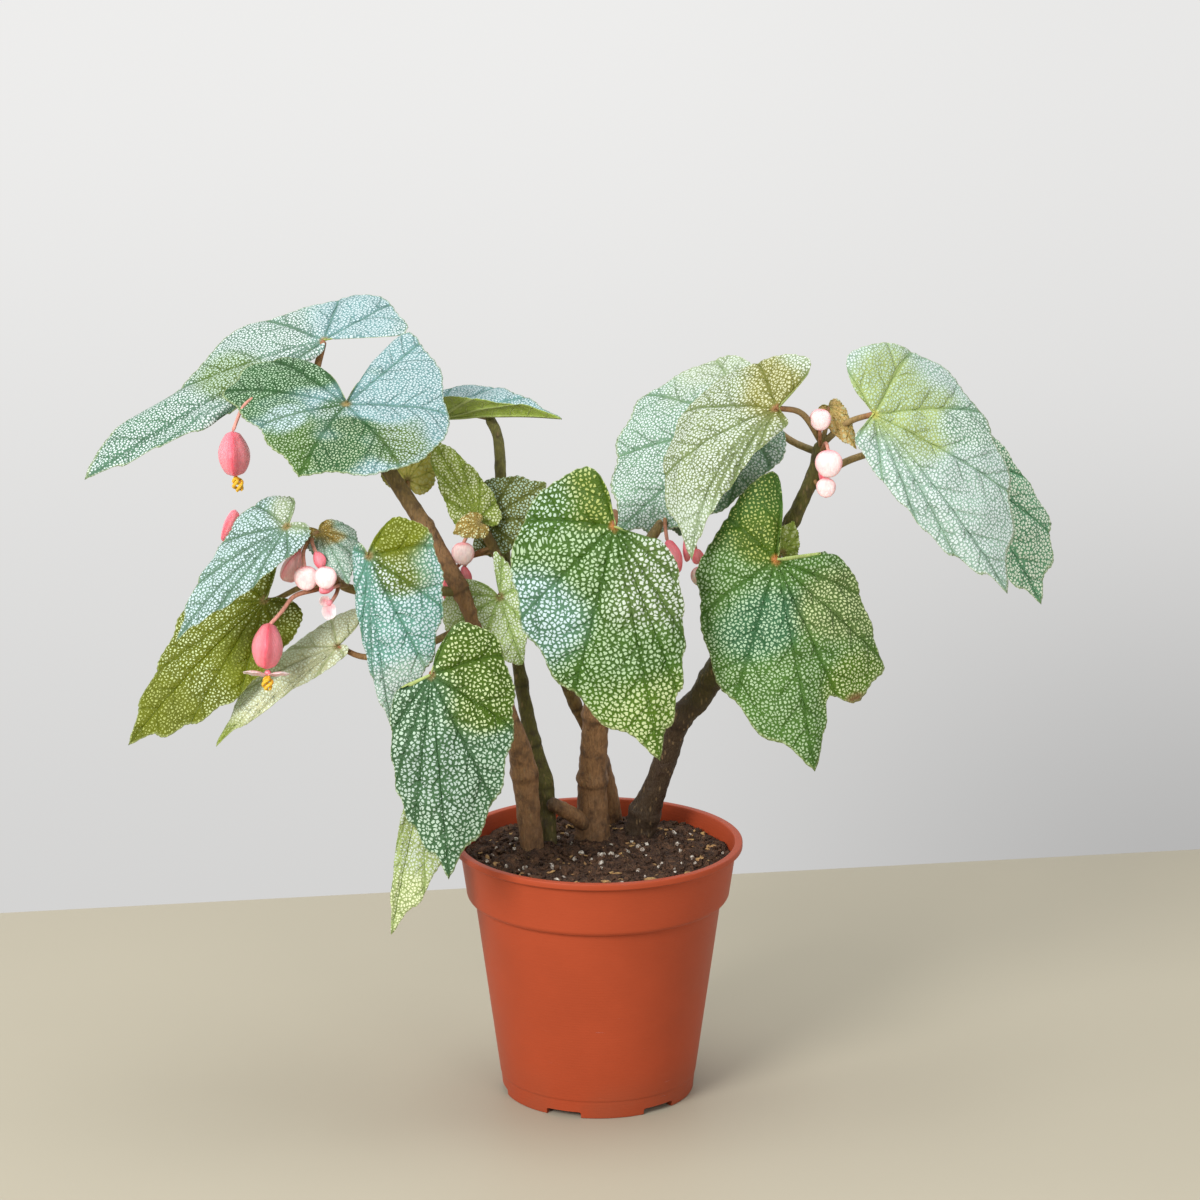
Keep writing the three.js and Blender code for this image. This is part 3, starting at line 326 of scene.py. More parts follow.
def leaf_top_material():
    """Close-set pale spots in a green network, which thin out along the sunken veins."""
    shade = Shade("leaf_top", Specular_IOR_Level=0.25)
    flat = shade.field("flat")
    off_vein, edge, net = shade.parts(shade.field("vein", "Color"))
    between = shade.field("vein", "Alpha")
    green, speckle = shade.field("green", "Color"), shade.field("green", "Alpha")
    pale, silver = shade.field("pale", "Color"), shade.field("pale", "Alpha")
    drift = shade.noise(flat, DRIFT_SCALE, 2.0)
    second = lesser_veins(shade, drift, net)
    reach = shade.fade(between, 0.5, 0.9, 1.0, 0.0)
    blur = shade.times_plus(shade.noise(flat, 0.5, 2.0), 1.4, -0.7)
    first_zone = shade.fade(shade.plus(off_vein, blur), 0.5, 2.4, 1.0, 0.0)
    second_zone = shade.fade(shade.times_plus(blur, 0.05, second), 0.02, 0.13, 1.0, 0.0)
    second_zone = shade.times(second_zone, reach)
    zone = shade.larger(first_zone, shade.times(second_zone, 0.55))
    push = shade.noise(flat, 0.55, 1.0, out="Color")
    warped = shade.add("VectorMath", {0: push, 1: (1.6, 1.6, 1.6), 2: flat}, operation="MULTIPLY_ADD")
    to_edge = shade.cells(warped, CELL_SCALE, "DISTANCE_TO_EDGE", 1.0, "2D")
    to_middle = shade.cells(warped, CELL_SCALE, "F1", 1.0, "2D")
    dome = shade.times_plus(to_middle, -0.4, shade.times_plus(to_edge, 0.6, 0.22))
    nibbled = shade.times_plus(shade.noise(flat, 1.0, 2.0), 0.38, shade.plus(dome, -0.19))
    lowest = shade.times_plus(silver, -0.14, 0.24)
    lowest = shade.times_plus(zone, 0.16, lowest)
    lowest = shade.times_plus(drift, 0.1, shade.plus(lowest, -0.05))
    spots = shade.fade(nibbled, shade.plus(lowest, -0.02), shade.plus(lowest, 0.08))
    clear = shade.times(shade.fade(off_vein, 0.3, 1.0), speckle)
    spots = shade.times(spots, clear)
    cloud = shade.noise(flat, 0.05, 4.0)
    network = shade.toned(green, shade.fade(cloud, 0.3, 0.7, 0.86, 1.14))
    colour = shade.mix(spots, network, pale)
    line = shade.fade(off_vein, 0.2, 0.8, 1.0, 0.0)
    second_line = shade.times(shade.fade(second, 0.01, 0.045, 1.0, 0.0), reach)
    lines = shade.larger(line, shade.times(second_line, 0.6))
    dark = shade.mix(1.0, green, VEIN_TINT, "MULTIPLY")
    colour = shade.mix(shade.times(lines, 0.8), colour, dark)
    margin = shade.fade(edge, 0.975, 0.995)
    colour = shade.mix(shade.times(margin, 0.35), colour, rgba("rim"))
    puff = shade.times(shade.fade(to_edge, 0.0, 0.3), 0.4)
    sunk = shade.times_plus(second_line, -0.5, shade.times(second_zone, -0.5))
    grain = shade.times(shade.noise(flat, 2.5, 2.0), 0.12)
    height = shade.plus(shade.plus(puff, sunk), grain)
    rough = shade.fade(cloud, 0.3, 0.7, 0.42, 0.56)
    return shade.finish(Base_Color=colour, Roughness=rough, Normal=shade.bump(height, 0.0005))


def leaf_under_material():
    """Matt yellow-green undersides with raised veins."""
    shade = Shade("leaf_underside", Specular_IOR_Level=0.35)
    flat = shade.field("flat")
    off_vein, _, net = shade.parts(shade.field("vein", "Color"))
    ground = shade.field("pale", "Color")
    second = lesser_veins(shade, shade.noise(flat, DRIFT_SCALE, 2.0), net)
    line = shade.fade(off_vein, 0.5, 1.4, 1.0, 0.0)
    second_line = shade.fade(second, 0.01, 0.06, 1.0, 0.0)
    lines = shade.larger(line, shade.times(second_line, 0.7))
    web = shade.fade(shade.cells(flat, 0.33, "DISTANCE_TO_EDGE"), 0.0, 0.08, 0.4, 0.0)
    colour = shade.mix(shade.larger(shade.times(lines, 0.5), web), ground, rgba("rim"))
    tone = shade.fade(shade.noise(flat, 0.1, 4.0), 0.3, 0.7, 0.84, 1.12)
    colour = shade.toned(colour, tone)
    height = shade.times_plus(lines, 1.0, shade.times(web, 0.5))
    rough = shade.fade(shade.noise(flat, 0.3), 0.3, 0.7, 0.5, 0.66)
    return shade.finish(Base_Color=colour, Roughness=rough, Normal=shade.bump(height, 0.0006))


def stem_material():
    """Ridged bark or smooth young skin, coloured along each limb, with flecks and fine cracks."""
    shade = Shade("stem", Specular_IOR_Level=0.4)
    tint, woody = shade.field("tint", "Color"), shade.field("tint", "Alpha")
    at = shade.place()
    long_way = shade.drawn_out(at, 0.3)
    streaks = shade.noise(long_way, 900.0, 4.0, 0.6)
    patches = shade.noise(at, 160.0, 4.0, 0.6)
    flecks = shade.fade(shade.cells(long_way, 420.0), 0.12, 0.3, 1.0, 0.0)
    tone = shade.fade(streaks, 0.3, 0.7, 0.75, 1.2)
    colour = shade.toned(tint, tone)
    darker = shade.times(shade.fade(patches, 0.45, 0.7), shade.times(woody, 0.6))
    colour = shade.mix(darker, colour, rgba("scar"))
    fleck_share = shade.times(flecks, shade.times_plus(woody, 0.25, 0.2))
    colour = shade.mix(fleck_share, colour, rgba("bark_pale"))
    ridges = shade.times_plus(woody, 0.8, 0.15)
    height = shade.times(shade.plus(streaks, patches), ridges)
    rough = shade.fade(streaks, 0.3, 0.7, 0.5, 0.75)
    return shade.finish(Base_Color=colour, Roughness=rough, Normal=shade.bump(height, 0.0012))


def bloom_material():
    """Waxy, slightly see-through flesh of the petals and seed cases, with fine lengthwise veins."""
    shade = Shade("bloom", Specular_IOR_Level=0.5, Subsurface_Weight=0.35, Subsurface_Scale=0.003)
    shade.shader.inputs["Subsurface Radius"].default_value = (1.0, 0.45, 0.4)
    tint = shade.field("tint", "Color")
    at = shade.place()
    long_way = shade.drawn_out(at, 0.25)
    veins = shade.noise(long_way, 1300.0, 2.0, 0.6)
    clouds = shade.noise(at, 300.0, 2.0)
    tone = shade.fade(veins, 0.3, 0.7, 0.9, 1.06)
    colour = shade.toned(tint, tone)
    colour = shade.mix(shade.fade(clouds, 0.5, 0.75, 0.0, 0.22), colour, rgba("rose"))
    rough = shade.fade(clouds, 0.3, 0.7, 0.3, 0.42)
    return shade.finish(Base_Color=colour, Roughness=rough, Normal=shade.bump(veins, 0.0003))


def stigma_material():
    shade = Shade("stigma", Subsurface_Weight=0.2, Subsurface_Scale=0.002)
    at = shade.place()
    beads = shade.cells(at, 1600.0)
    colour = shade.mix(shade.fade(beads, 0.3, 0.8), rgba("yellow"), rgba("amber"))
    rough = shade.fade(beads, 0.0, 0.6, 0.45, 0.7)
    return shade.finish(Base_Color=colour, Roughness=rough, Normal=shade.bump(beads, -0.0004))


def pot_material():
    """Moulded terracotta-coloured plastic with rub marks, faint rings and dust."""
    shade = Shade("pot_plastic", Specular_IOR_Level=0.22)
    at = shade.place()
    height = shade.parts(at)[2]
    clouds = shade.noise(at, 18.0, 4.0, 0.55)
    tone = shade.fade(clouds, 0.3, 0.7, 0.94, 1.05)
    colour = shade.toned(rgba("pot"), tone)
    thin = shade.add("Mapping", {"Vector": at, "Scale": (1.0, 1.0, 14.0), "Rotation": (0.0, 0.5, 0.3)})
    marks = shade.noise(thin, 60.0, 5.0, 0.7)
    scratches = shade.fade(marks, 0.66, 0.72)
    patches = shade.fade(shade.noise(at, 30.0, 3.0), 0.5, 0.65)
    rubbed = shade.times(shade.times(scratches, patches), 0.3)
    colour = shade.mix(rubbed, colour, rgba("blush"))
    dust = shade.times(shade.fade(height, 0.0, 0.03, 0.25, 0.0), shade.fade(clouds, 0.4, 0.6))
    colour = shade.mix(dust, colour, rgba("soil_pale"))
    rings = shade.math("SINE", shade.times(height, 4200.0))
    pores = shade.noise(at, 1500.0, 2.0)
    relief = shade.times_plus(rings, 0.03, shade.times_plus(pores, 0.12, rubbed))
    rough = shade.plus(shade.fade(clouds, 0.3, 0.7, 0.42, 0.52), shade.times(rubbed, 0.5))
    return shade.finish(Base_Color=colour, Roughness=rough, Normal=shade.bump(relief, 0.0004))


def soil_material():
    """Dark crumbly compost, damp in places, with pale fibres."""
    shade = Shade("compost", Specular_IOR_Level=0.3)
    at = shade.place()
    clumps = shade.noise(at, 220.0, 5.0, 0.65)
    grains = shade.cells(at, 700.0)
    colour = shade.mix(shade.fade(clumps, 0.4, 0.7), rgba("soil"), rgba("soil_pale"))
    colour = shade.mix(shade.fade(grains, 0.0, 0.5, 0.6, 0.0), colour, rgba("bark_dark"))
    fibres = shade.noise(at, 500.0, 3.0, 0.6, 2.0)
    colour = shade.mix(shade.fade(fibres, 0.64, 0.7, 0.0, 0.5), colour, rgba("bark_pale"))
    height = shade.times_plus(grains, -0.5, clumps)
    rough = shade.fade(clumps, 0.3, 0.7, 0.7, 0.95)
    return shade.finish(Base_Color=colour, Roughness=rough, Normal=shade.bump(height, 0.0025))


def grain_material(name, light, dark, scale):
    """Porous or fibrous bits in the compost."""
    shade = Shade(name, Specular_IOR_Level=0.3)
    at = shade.place()
    pores = shade.noise(at, scale, 4.0, 0.6)
    colour = shade.mix(shade.fade(pores, 0.35, 0.7), rgba(dark), rgba(light))
    rough = shade.fade(pores, 0.3, 0.7, 0.75, 0.95)
    return shade.finish(Base_Color=colour, Roughness=rough, Normal=shade.bump(pores, 0.0008))


def floor_material():
    shade = Shade("floor_surface", Specular_IOR_Level=0.2, Roughness=0.55)
    clouds = shade.noise(shade.place(), 3.0, 3.0)
    return shade.finish(Base_Color=shade.toned(rgba("floor"), shade.fade(clouds, 0.3, 0.7, 0.985, 1.015)))


# ---------------------------------------------------------------- leaves

TOOTH = 0.045
TEETH = 28
SMALL_TEETH = 20
LOBE_SLOPE = 0.5
WAVES = 5
WAVE_HEIGHT = 0.012
BLADE = 0.6  # thickness of a blade
VEIN_SHARES = (0.14, 0.34, 0.55, 0.77)  # where the side veins reach a half's margin, from sinus to tip
OUTLINE_KEYS = ("width", "lobe", "belly", "shoulder")
FIRST_RAY = 0.02
VEIN_ARCH = 0.06
VEIN_SPACING, VEIN_SPREAD = 4, 0.09  # between lesser veins, and how it grows with a leaf's length
RAYS, RINGS = 120, 44  # rays in each half of a leaf
SMALL_RAYS, SMALL_RINGS = 66, 24
FINE_TOOTH = 3  # rays to each of the margin's fine teeth
FINE_DEPTH = 1.3
GROOVE, GROOVE_WIDTH = 0.7, 1.3  # the main veins' depth and width
PLEAT, QUILT = 1.1, 0.25  # the swell between main veins, and between lesser ones
BUCKLE, BUCKLE_SIZE = 0.4, 18  # the uneven swell of a blade
FULL_LENGTH = 90  # leaves shorter than this have less relief
SINUS_PATCH = (3.5, 0.8)  # how far from its stalk a blade starts to take the sinus colour, and has it
PATTERN_SHIFT = 370.0  # keeps the speckle of each leaf its own

# Each leaf repeats its solid's values, with its look: the green of its network and its speckle amount, its
# pale ground and how much of it shows, the size of its pattern, and spots of other colours on the blade.
# Some of these colours are painted light: bluish networks and grounds are partly a painted reflection of
# the sky where a blade faces up, and the bright greens and creams of leaves at the back paint light shining
# through them. A spot has a place to the left of the midrib and along it, and a reach, in shares of the
# leaf's length.
LEAF_DEFAULTS = {
    "belly": (0.1, 0.1), "shoulder": (0.66, 0.66), "skew": 0, "bend": 0, "fold": (0, 0), "droop": 0.35,
    "margins": (None, None), "veins": VEIN_SHARES,
    "small": False, "green": "leaf", "speckle": 0.8, "pale": "mint", "silver": 0.3, "pattern": 1.0,
    "spots": (), "sinus": "leafstalk", "under": "under",
}
LEAVES = {
    # Its bluish greens and pale grounds are partly a painted reflection of the sky.
    "leaf_left_far": dict(
        at=(-142, 60, 387), tip=(-261, 5, 325), face=(-0.3, -0.45, 0.85),
        margins=(
            [(0, 0), (-0.085, -0.08), (-0.16, -0.165), (-0.195, -0.23), (-0.16, -0.27), (-0.08, -0.285),
             (0.01, -0.29), (0.09, -0.28), (0.17, -0.23), (0.2, -0.11), (0.225, -0.04), (0.255, 0.075),
             (0.295, 0.18), (0.285, 0.33), (0.21, 0.445), (0.17, 0.525), (0.15, 0.66), (0.13, 0.82),
             (0.095, 0.915), (0, 1)],
            [(0, 0), (0.045, 0.03), (0.065, 0.12), (0.07, 0.22), (0.082, 0.33), (0.096, 0.45),
             (0.115, 0.575), (0.108, 0.65), (0.076, 0.76), (0.03, 0.906), (0, 1)],
        ),
        veins=(0.26, 0.38, 0.52, 0.74), bow=0.02, fold=(3, -4), droop=0.15, phase=1, slot="leaf_mint",
        green="mist", pale="snow", silver=0.75, speckle=0.95, pattern=1.5,
        spots=[(0.05, 0.75, 0.3, "sea", 0.95, "snow", 0.65),
               (0.05, -0.2, 0.25, "steel", 0.95, "ice", 0.9),
               (0.06, 0.36, 0.15, "fern", 0.95, "frost", 0.75)],
    ),
    # Its steel network and ice ground are partly a painted reflection of the sky on the half that faces up.
    "leaf_left_crown": dict(
        at=(-127, 0, 365), tip=(-149, -38, 336), face=(-0.05, -0.5, 0.86),
        width=(1.3, 1.1), lobe=(0.5, 1.2), shoulder=(0.5, 0.8),
        bow=0.06, skew=-0.34, droop=0.08, phase=2, slot="leaf_blue",
        green="steel", pale="ice", silver=0.75, speckle=0.95, pattern=1.5,
        spots=[(0.95, -0.12, 0.75, "forest", 1.0, "fade", 0.25),
               (0.1, 0.12, 0.2, "pine", 1.0, "haze", 0.6),
               (0.15, 0.78, 0.46, "thicket", 1.0, "moon", 0.35),
               (-0.7, 0.3, 0.32, "fern", 1.0, "haze", 0.6),
               (-0.3, 0.55, 0.38, "forest", 1.0, "moon", 0.35),
               (0.45, 0.4, 0.2, "mist", 0.95, "glacier", 0.8)],
    ),
    # Its bright gold and linen paint light shining through this leaf, which is in shade behind the crown.
    "leaf_left_bud": dict(
        at=(-98, 26, 320), tip=(-91, 34, 348), face=(0.3, -0.9, 0.1),
        width=(0.5, 0.55), lobe=(0.2, 0.2),
        bow=0.05, fold=(15, 15), phase=0, small=True, slot="leaf_olive",
        green="gold", pale="linen", silver=1.0, speckle=0.3,
    ),
    "leaf_left_mid": dict(
        at=(-155, -40, 311), tip=(-210, -62, 258), face=(-0.5, -0.75, 0.45),
        width=(0.33, 0.2), lobe=(0.17, 0.1), belly=(0.05, 0.2), shoulder=(0.5, 0.66),
        bow=0.06, phase=3, slot="leaf_mint",
        green="mist", pale="glacier", silver=0.8, speckle=0.95, pattern=1.5,
        spots=[(0.08, -0.14, 0.22, "lichen", 0.95, "chalk", 0.8)],
    ),
    "leaf_left_low": dict(
        at=(-169, -15, 267), tip=(-238, -35, 196), face=(-0.3, -0.8, 0.5),
        width=(0.33, 0.28), lobe=(0.2, 0.1), belly=(0.1, 0.4), shoulder=(0.52, 0.66),
        bow=0.05, phase=1, slot="leaf_olive",
        green="olive", pale="cream", silver=0.12, speckle=0.95, pattern=1.3,
        spots=[(-0.35, 0.25, 0.32, "mustard", 0.35, "lime", 0.0),
               (0.0, 0.85, 0.35, "olive", 0.8, "pear", 0.0)],
    ),
    "leaf_left_small": dict(
        at=(-140, -25, 305), tip=(-124, -45, 282), face=(0.1, -0.7, 0.7),
        width=(0.3, 0.55), lobe=(0.2, 0.2),
        bow=0.1, fold=(-10, -10), phase=4, small=True, slot="leaf_mint",
        green="silvered", pale="milk", silver=0.85, speckle=0.9, pattern=1.7,
        spots=[(0.0, -0.05, 0.32, "wheat", 0.6, "linen", 0.3)],
    ),
    "leaf_inner_high": dict(
        at=(-114, -48, 298), tip=(-103, -58, 210), face=(-0.1, -0.9, 0.35),
        width=(0.13, 0.4), lobe=(0.08, 0.2), belly=(0.25, 0.2),
        bow=0.06, fold=(-30, -5), phase=2, slot="leaf_teal",
        green="lagoon", pale="glacier", silver=0.75, speckle=1.0, pattern=1.3,
        spots=[(-0.12, 0.08, 0.13, "fern", 1.0, "snow", 0.6),
               (-0.2, -0.14, 0.25, "mustard", 0.85, "pear", 0.1),
               (-0.1, 0.9, 0.35, "silvered", 1.0, "snow", 0.8)],
    ),
    # Its pale parchment and pearl paint light shining through this leaf, which is in shade.
    "leaf_left_edge": dict(
        at=(-132, -20, 244), tip=(-193, -45, 198), face=(-0.4, -0.6, 0.7),
        width=(0.27, 0.1), lobe=(0.3, 0.05),
        bow=0.04, bend=0.02, fold=(0, -20), phase=5, small=True, slot="leaf_lime",
        green="parchment", pale="pearl", silver=0.8, speckle=0.9, pattern=1.5,
        spots=[(0.05, 0.97, 0.22, "hay", 0.2, "linen", 0.5)],
    ),
    "leaf_inner_low": dict(
        at=(-83, -67, 242), tip=(-74, -90, 143), face=(0.05, -0.9, 0.35),
        width=(0.23, 0.41), lobe=(-0.12, 0.25), belly=(0.45, 0.15),
        bow=0.05, fold=(-15, -5), phase=0, slot="leaf_deep",
        green="pine", pale="frost", silver=0.6, speckle=1.0, pattern=1.1,
        spots=[(-0.3, -0.05, 0.3, "grass", 0.95, "cream", 0.2),
               (0.02, 0.5, 0.2, "pine", 1.0, "haze", 0.6)],
    ),
    "leaf_inner_hanging": dict(
        at=(-88, -35, 182), tip=(-105, -60, 103), face=(-0.1, -0.9, 0.35),
        width=(0.08, 0.22), lobe=(0.05, 0.1), belly=(0.3, 0.4),
        bow=0.03, phase=3, small=True, slot="leaf_lime",
        green="lettuce", pale="chalk", silver=0.9, speckle=0.9, pattern=1.4,
        spots=[(0.0, 0.9, 0.35, "lettuce", 0.8, "linen", 0.8)],
    ),
    "leaf_slim_stem": dict(
        at=(-82, 50, 347), tip=(-18, 15, 355), face=(0.1, -0.3, 0.95),
        width=(0.3, 0.44), lobe=(0.1, 0.25), shoulder=(0.66, 0.45),
        bow=0.02, fold=(58, 20), phase=2, small=True, slot="leaf_blue",
        green="steel", pale="ice", silver=0.85, speckle=0.9, pattern=1.6,
    ),
    "leaf_front": dict(
        at=(8, -55, 315), tip=(31, -70, 198), face=(0, -0.9, 0.4),
        width=(0.48, 0.225), lobe=(0.27, -0.16), belly=(0.25, 0.3),
        bow=0.08, fold=(-15, -8), skew=0.48, phase=1, slot="leaf_deep",
        green="thicket", pale="mint", silver=0.5, speckle=1.0, pattern=1.0, sinus="orange",
        spots=[(0.08, -0.14, 0.16, "grass", 0.9, "pear", 0.2),
               (0.32, -0.15, 0.2, "thicket", 1.0, "frost", 0.4),
               # Bluish white on the left middle of the blade: a painted reflection of the sky.
               (0.45, 0.26, 0.26, "sea", 1.0, "glacier", 0.65),
               (-0.24, 0.28, 0.3, "fern", 1.0, "chalk", 0.65),
               (0.05, 0.9, 0.3, "meadow", 1.0, "cream", 0.65)],
    ),
    "leaf_main_top": dict(
        at=(38, 5, 314), tip=(42, 0, 296), face=(0, -0.9, 0.4),
        width=(0.5, 0.5), lobe=(0.3, 0.3), bow=0.05, phase=1, small=True, slot="leaf_mint",
        green="willow", pale="milk", silver=0.8, speckle=0.8, pattern=1.5,
    ),
    # Its bright colours paint light shining through this leaf at the back.
    "leaf_back_high": dict(
        at=(-61, 10, 303), tip=(-87, 20, 346), face=(0, -0.8, 0.55),
        width=(0.27, 0.24), lobe=(0.15, 0.15), bow=0.04, phase=1, small=True, slot="leaf_lime",
        green="hay", pale="linen", silver=0.6, speckle=0.8, pattern=1.5,
    ),
    "leaf_back_right": dict(
        at=(-57, 20, 300), tip=(-26, 25, 319), face=(0.2, -0.8, 0.5),
        width=(0.55, 0.55), lobe=(0.4, 0.3), bow=0.04, phase=1, small=True, slot="leaf_mint",
        green="khaki", pale="frost", silver=0.5, speckle=1.0, pattern=1.5,
    ),
    # Its bright colours paint light shining through this leaf at the back.
    "leaf_back_small": dict(
        at=(-60, 2, 303), tip=(-74, -6, 299), face=(0, -0.8, 0.55),
        width=(0.5, 0.5), lobe=(0.2, 0.2), bow=0.04, phase=1, small=True, slot="leaf_olive",
        green="wheat", pale="linen", silver=0.8, speckle=0.8, pattern=1.6,
    ),
    # Its bright colours paint light shining through this leaf at the back.
    "leaf_back_low": dict(
        at=(-50, -5, 266), tip=(-38, -15, 232), face=(-0.2, -0.9, 0.4),
        width=(0.95, 0.3), lobe=(0.4, 0.65), bow=0.04, phase=1, small=True, slot="leaf_lime",
        green="pistachio", pale="pearl", silver=0.8, speckle=0.9, pattern=1.6,
    ),
    "leaf_right_front": dict(
        at=(89, -20, 367), tip=(46, -45, 295), face=(-0.5, -0.7, 0.5),
        width=(0.56, 0.14), lobe=(0.37, -0.05), belly=(0.1, 0.2),
        bow=0.06, bend=0.1, fold=(0, -10), skew=0.62, phase=2, slot="leaf_lime",
        green="sage", pale="chalk", silver=0.75, speckle=0.95, pattern=1.4, sinus="rust",
        spots=[(0.1, -0.08, 0.26, "fresh", 0.95, "butter", 0.6),
               (0.03, 0.9, 0.3, "lichen", 1.0, "chalk", 0.9),
               (0.08, -0.38, 0.14, "lichen", 1.0, "chalk", 0.9)],
    ),
    "leaf_right_inner": dict(
        at=(75, 15, 351), tip=(9, 0, 297), face=(-0.4, -0.75, 0.5),
        width=(0.68, 0.35), lobe=(0.3, 0.15), belly=(0.3, 0.4), bow=0.05, phase=0, slot="leaf_blue",
        green="willow", pale="snow", silver=0.68, speckle=0.95, pattern=1.45,
        spots=[(0.55, -0.1, 0.3, "lichen", 0.95, "chalk", 0.85)],
    ),
    "leaf_right_outer": dict(
        at=(139, -5, 361), tip=(206, -30, 274), face=(0.3, -0.8, 0.5),
        width=(0.17, 0.5), lobe=(-0.05, 0.3), belly=(0.4, 0.15),
        bow=0.05, fold=(-15, 0), skew=-0.35, phase=1, slot="leaf_mint",
        green="silvered", pale="snow", silver=0.85, speckle=0.95, pattern=1.4, sinus="gold",
        spots=[(-0.14, 0.0, 0.28, "lettuce", 0.95, "frost", 0.6),
               (-0.38, 0.34, 0.15, "willow", 1.0, "milk", 0.8)],
    ),
    "leaf_right_far": dict(
        at=(179, 40, 330), tip=(231, 30, 253), face=(0.3, -0.8, 0.5),
        width=(0.25, 0.36), lobe=(0.1, 0.2), belly=(0.2, 0.5), bow=0.05, phase=3, slot="leaf_teal",
        green="celery", pale="pearl", silver=0.75, speckle=0.95, pattern=1.3,
    ),
    "leaf_right_young": dict(
        at=(117, 10, 362), tip=(131, 2, 341), face=(0, -0.9, 0.4),
        width=(0.3, 0.3), lobe=(0.1, 0.1),
        bow=0.05, fold=(-20, -20), phase=1, small=True, slot="leaf_olive",
        green="tawny", pale="butter", silver=1.0, speckle=0.8,
    ),
    "leaf_right_low": dict(
        at=(89, -35, 293), tip=(109, -55, 188), face=(0, -0.9, 0.4),
        width=(0.4, 0.42), lobe=(0.42, -0.02), belly=(0.35, 0.4),
        margins=(
            None,
            [(0, 0), (0.08, -0.003), (0.2, 0), (0.33, 0.015), (0.39, 0.15), (0.42, 0.35), (0.445, 0.54),
             (0.44, 0.64), (0.37, 0.71), (0.25, 0.74), (0.13, 0.71), (0.1, 0.8), (0.055, 0.93), (0, 1)],
        ),
        bow=0.06, fold=(-8, -20), skew=0.6, phase=1, slot="leaf_deep",
        green="leaf", pale="mint", silver=0.4, speckle=0.95, pattern=1.25, sinus="orange",
        spots=[(0.1, -0.34, 0.3, "thicket", 0.8, "pear", 0.0),
               (0.04, -0.1, 0.15, "grass", 0.9, "pear", 0.1),
               (0.12, 0.24, 0.2, "teal", 1.0, "fade", 0.5),
               (-0.36, 0.3, 0.28, "fern", 1.0, "cream", 0.4),
               (-0.3, 0.6, 0.2, "meadow", 1.0, "cream", 0.35),
               (-0.27, 0.77, 0.065, "umber", 0.0, "tan", 0.9)],
    ),
    "leaf_right_hidden": dict(
        at=(93, -14, 291), tip=(99, -8, 307), face=(0.3, -0.9, 0.2),
        width=(0.5, 0.5), lobe=(0.2, 0.2), bow=0.05, phase=1, small=True, slot="leaf_lime",
        green="hay", pale="linen", silver=1.0, speckle=0.4,
    ),
}


def half_outline(width, lobe, belly, shoulder):
    """Half of an outline from the sinus to the tip, as in the solids."""
    back = (0.6, 1, 0.62) if lobe > 0 else (0.12, 0.33, 0.62)
    return [
        (0, 0), (0.16 * width, -back[0] * lobe), (0.45 * width, -back[1] * lobe),
        (0.84 * width, -back[2] * lobe), (width, 0.6 * belly), (0.97 * width, belly + 0.12),
        (shoulder * width, 0.6 + 0.4 * belly), (0.4 * shoulder * width, 0.87 + 0.1 * belly), (0, 1),
    ]


def half_rays(rays, vein_shares):
    """Shares of a half's margin where the rays end, with one on each side vein and one on the midrib."""
    stops = (FIRST_RAY, *vein_shares, 1)
    shares = []
    for low, high in zip(stops, stops[1:]):
        shares.append(np.linspace(low, high, max(4, round(rays * (high - low))), endpoint=False))
    return np.concatenate([*shares, [1]])


def leaf_margin(leaf, rays, length):
    """The toothed margin from the sinus round the left half and back round the right one: where the rays
    end, the depth of the teeth, the turn round the leaf, which rays are veins and how far they arch. They
    don't arch beside the straight margin of a half without a lobe."""
    teeth = SMALL_TEETH if leaf["small"] else TEETH
    shares = half_rays(rays, leaf["veins"])
    veins = np.isin(np.round(shares, 6), np.round((*leaf["veins"], 1), 6))
    draw = np.random.default_rng(len(shares) + round(10 * abs(leaf["tip"][0])))
    sides = []
    for side, sign in ((0, 1), (1, -1)):
        outline = leaf["margins"][side] or half_outline(*(leaf[key][side] for key in OUTLINE_KEYS))
        line = along_curve(outline, shares) * (sign, 1)
        line[:, 0] += leaf["skew"] * np.minimum(line[:, 1], 0)
        tooth = 1 - TOOTH * (0.5 - 0.5 * np.cos(math.pi * shares * teeth / 2))
        count = len(shares)
        sizes = np.repeat(draw.uniform(0.3, 1, count), FINE_TOOTH)[:count]
        nick = (np.arange(count) % FINE_TOOTH) / FINE_TOOTH * sizes
        depth = FINE_DEPTH * nick * smooth_step(0.03, 0.12, shares)
        tooth = tooth - depth / (length * np.linalg.norm(line, axis=1))
        turn = math.pi * shares if side == 0 else 2 * math.pi - math.pi * shares
        lobed = leaf.get("lobe", (1, 1))[side] > 0
        arch = np.full(count, VEIN_ARCH) if lobed else VEIN_ARCH * smooth_step(0.15, 0.45, shares)
        sides.append((line, tooth, turn - 2 * math.pi / teeth, veins, arch))
    return [np.concatenate([left, right[::-1][1:]]) for left, right in zip(*sides)]


def leaf_surface(leaf, u, v, edge, turn):
    """Where places on the flat blade lie in space, once it is folded, bowed, bent, drooping and waved."""
    base = np.array(leaf["at"], float)
    span = np.array(leaf["tip"], float) - base
    length = np.linalg.norm(span)
    along = span / length
    face = np.array(leaf["face"], float)
    face = unit(face - along * (face @ along))
    left = np.cross(along, face)
    bow = 4 * leaf["bow"]
    arc = np.where(v > 0, v * (1 - v), LOBE_SLOPE * v)
    slope = np.where(v > 0, bow * (1 - 2 * v), bow * LOBE_SLOPE)
    normal = unit(face - slope[..., None] * along)
    fold = np.radians(np.where(u > 0, leaf["fold"][0], leaf["fold"][1]))
    wave = WAVE_HEIGHT * edge ** 2 * np.sin(WAVES * turn + leaf["phase"])
    lift = np.abs(u) * np.sin(fold) - leaf["droop"] * u * u + wave
    across = u * np.cos(fold) + 4 * leaf["bend"] * np.maximum(arc, 0)
    offsets = along * v[..., None] + face * (bow * arc)[..., None] + left * across[..., None]
    return base + length * (offsets + normal * lift[..., None])


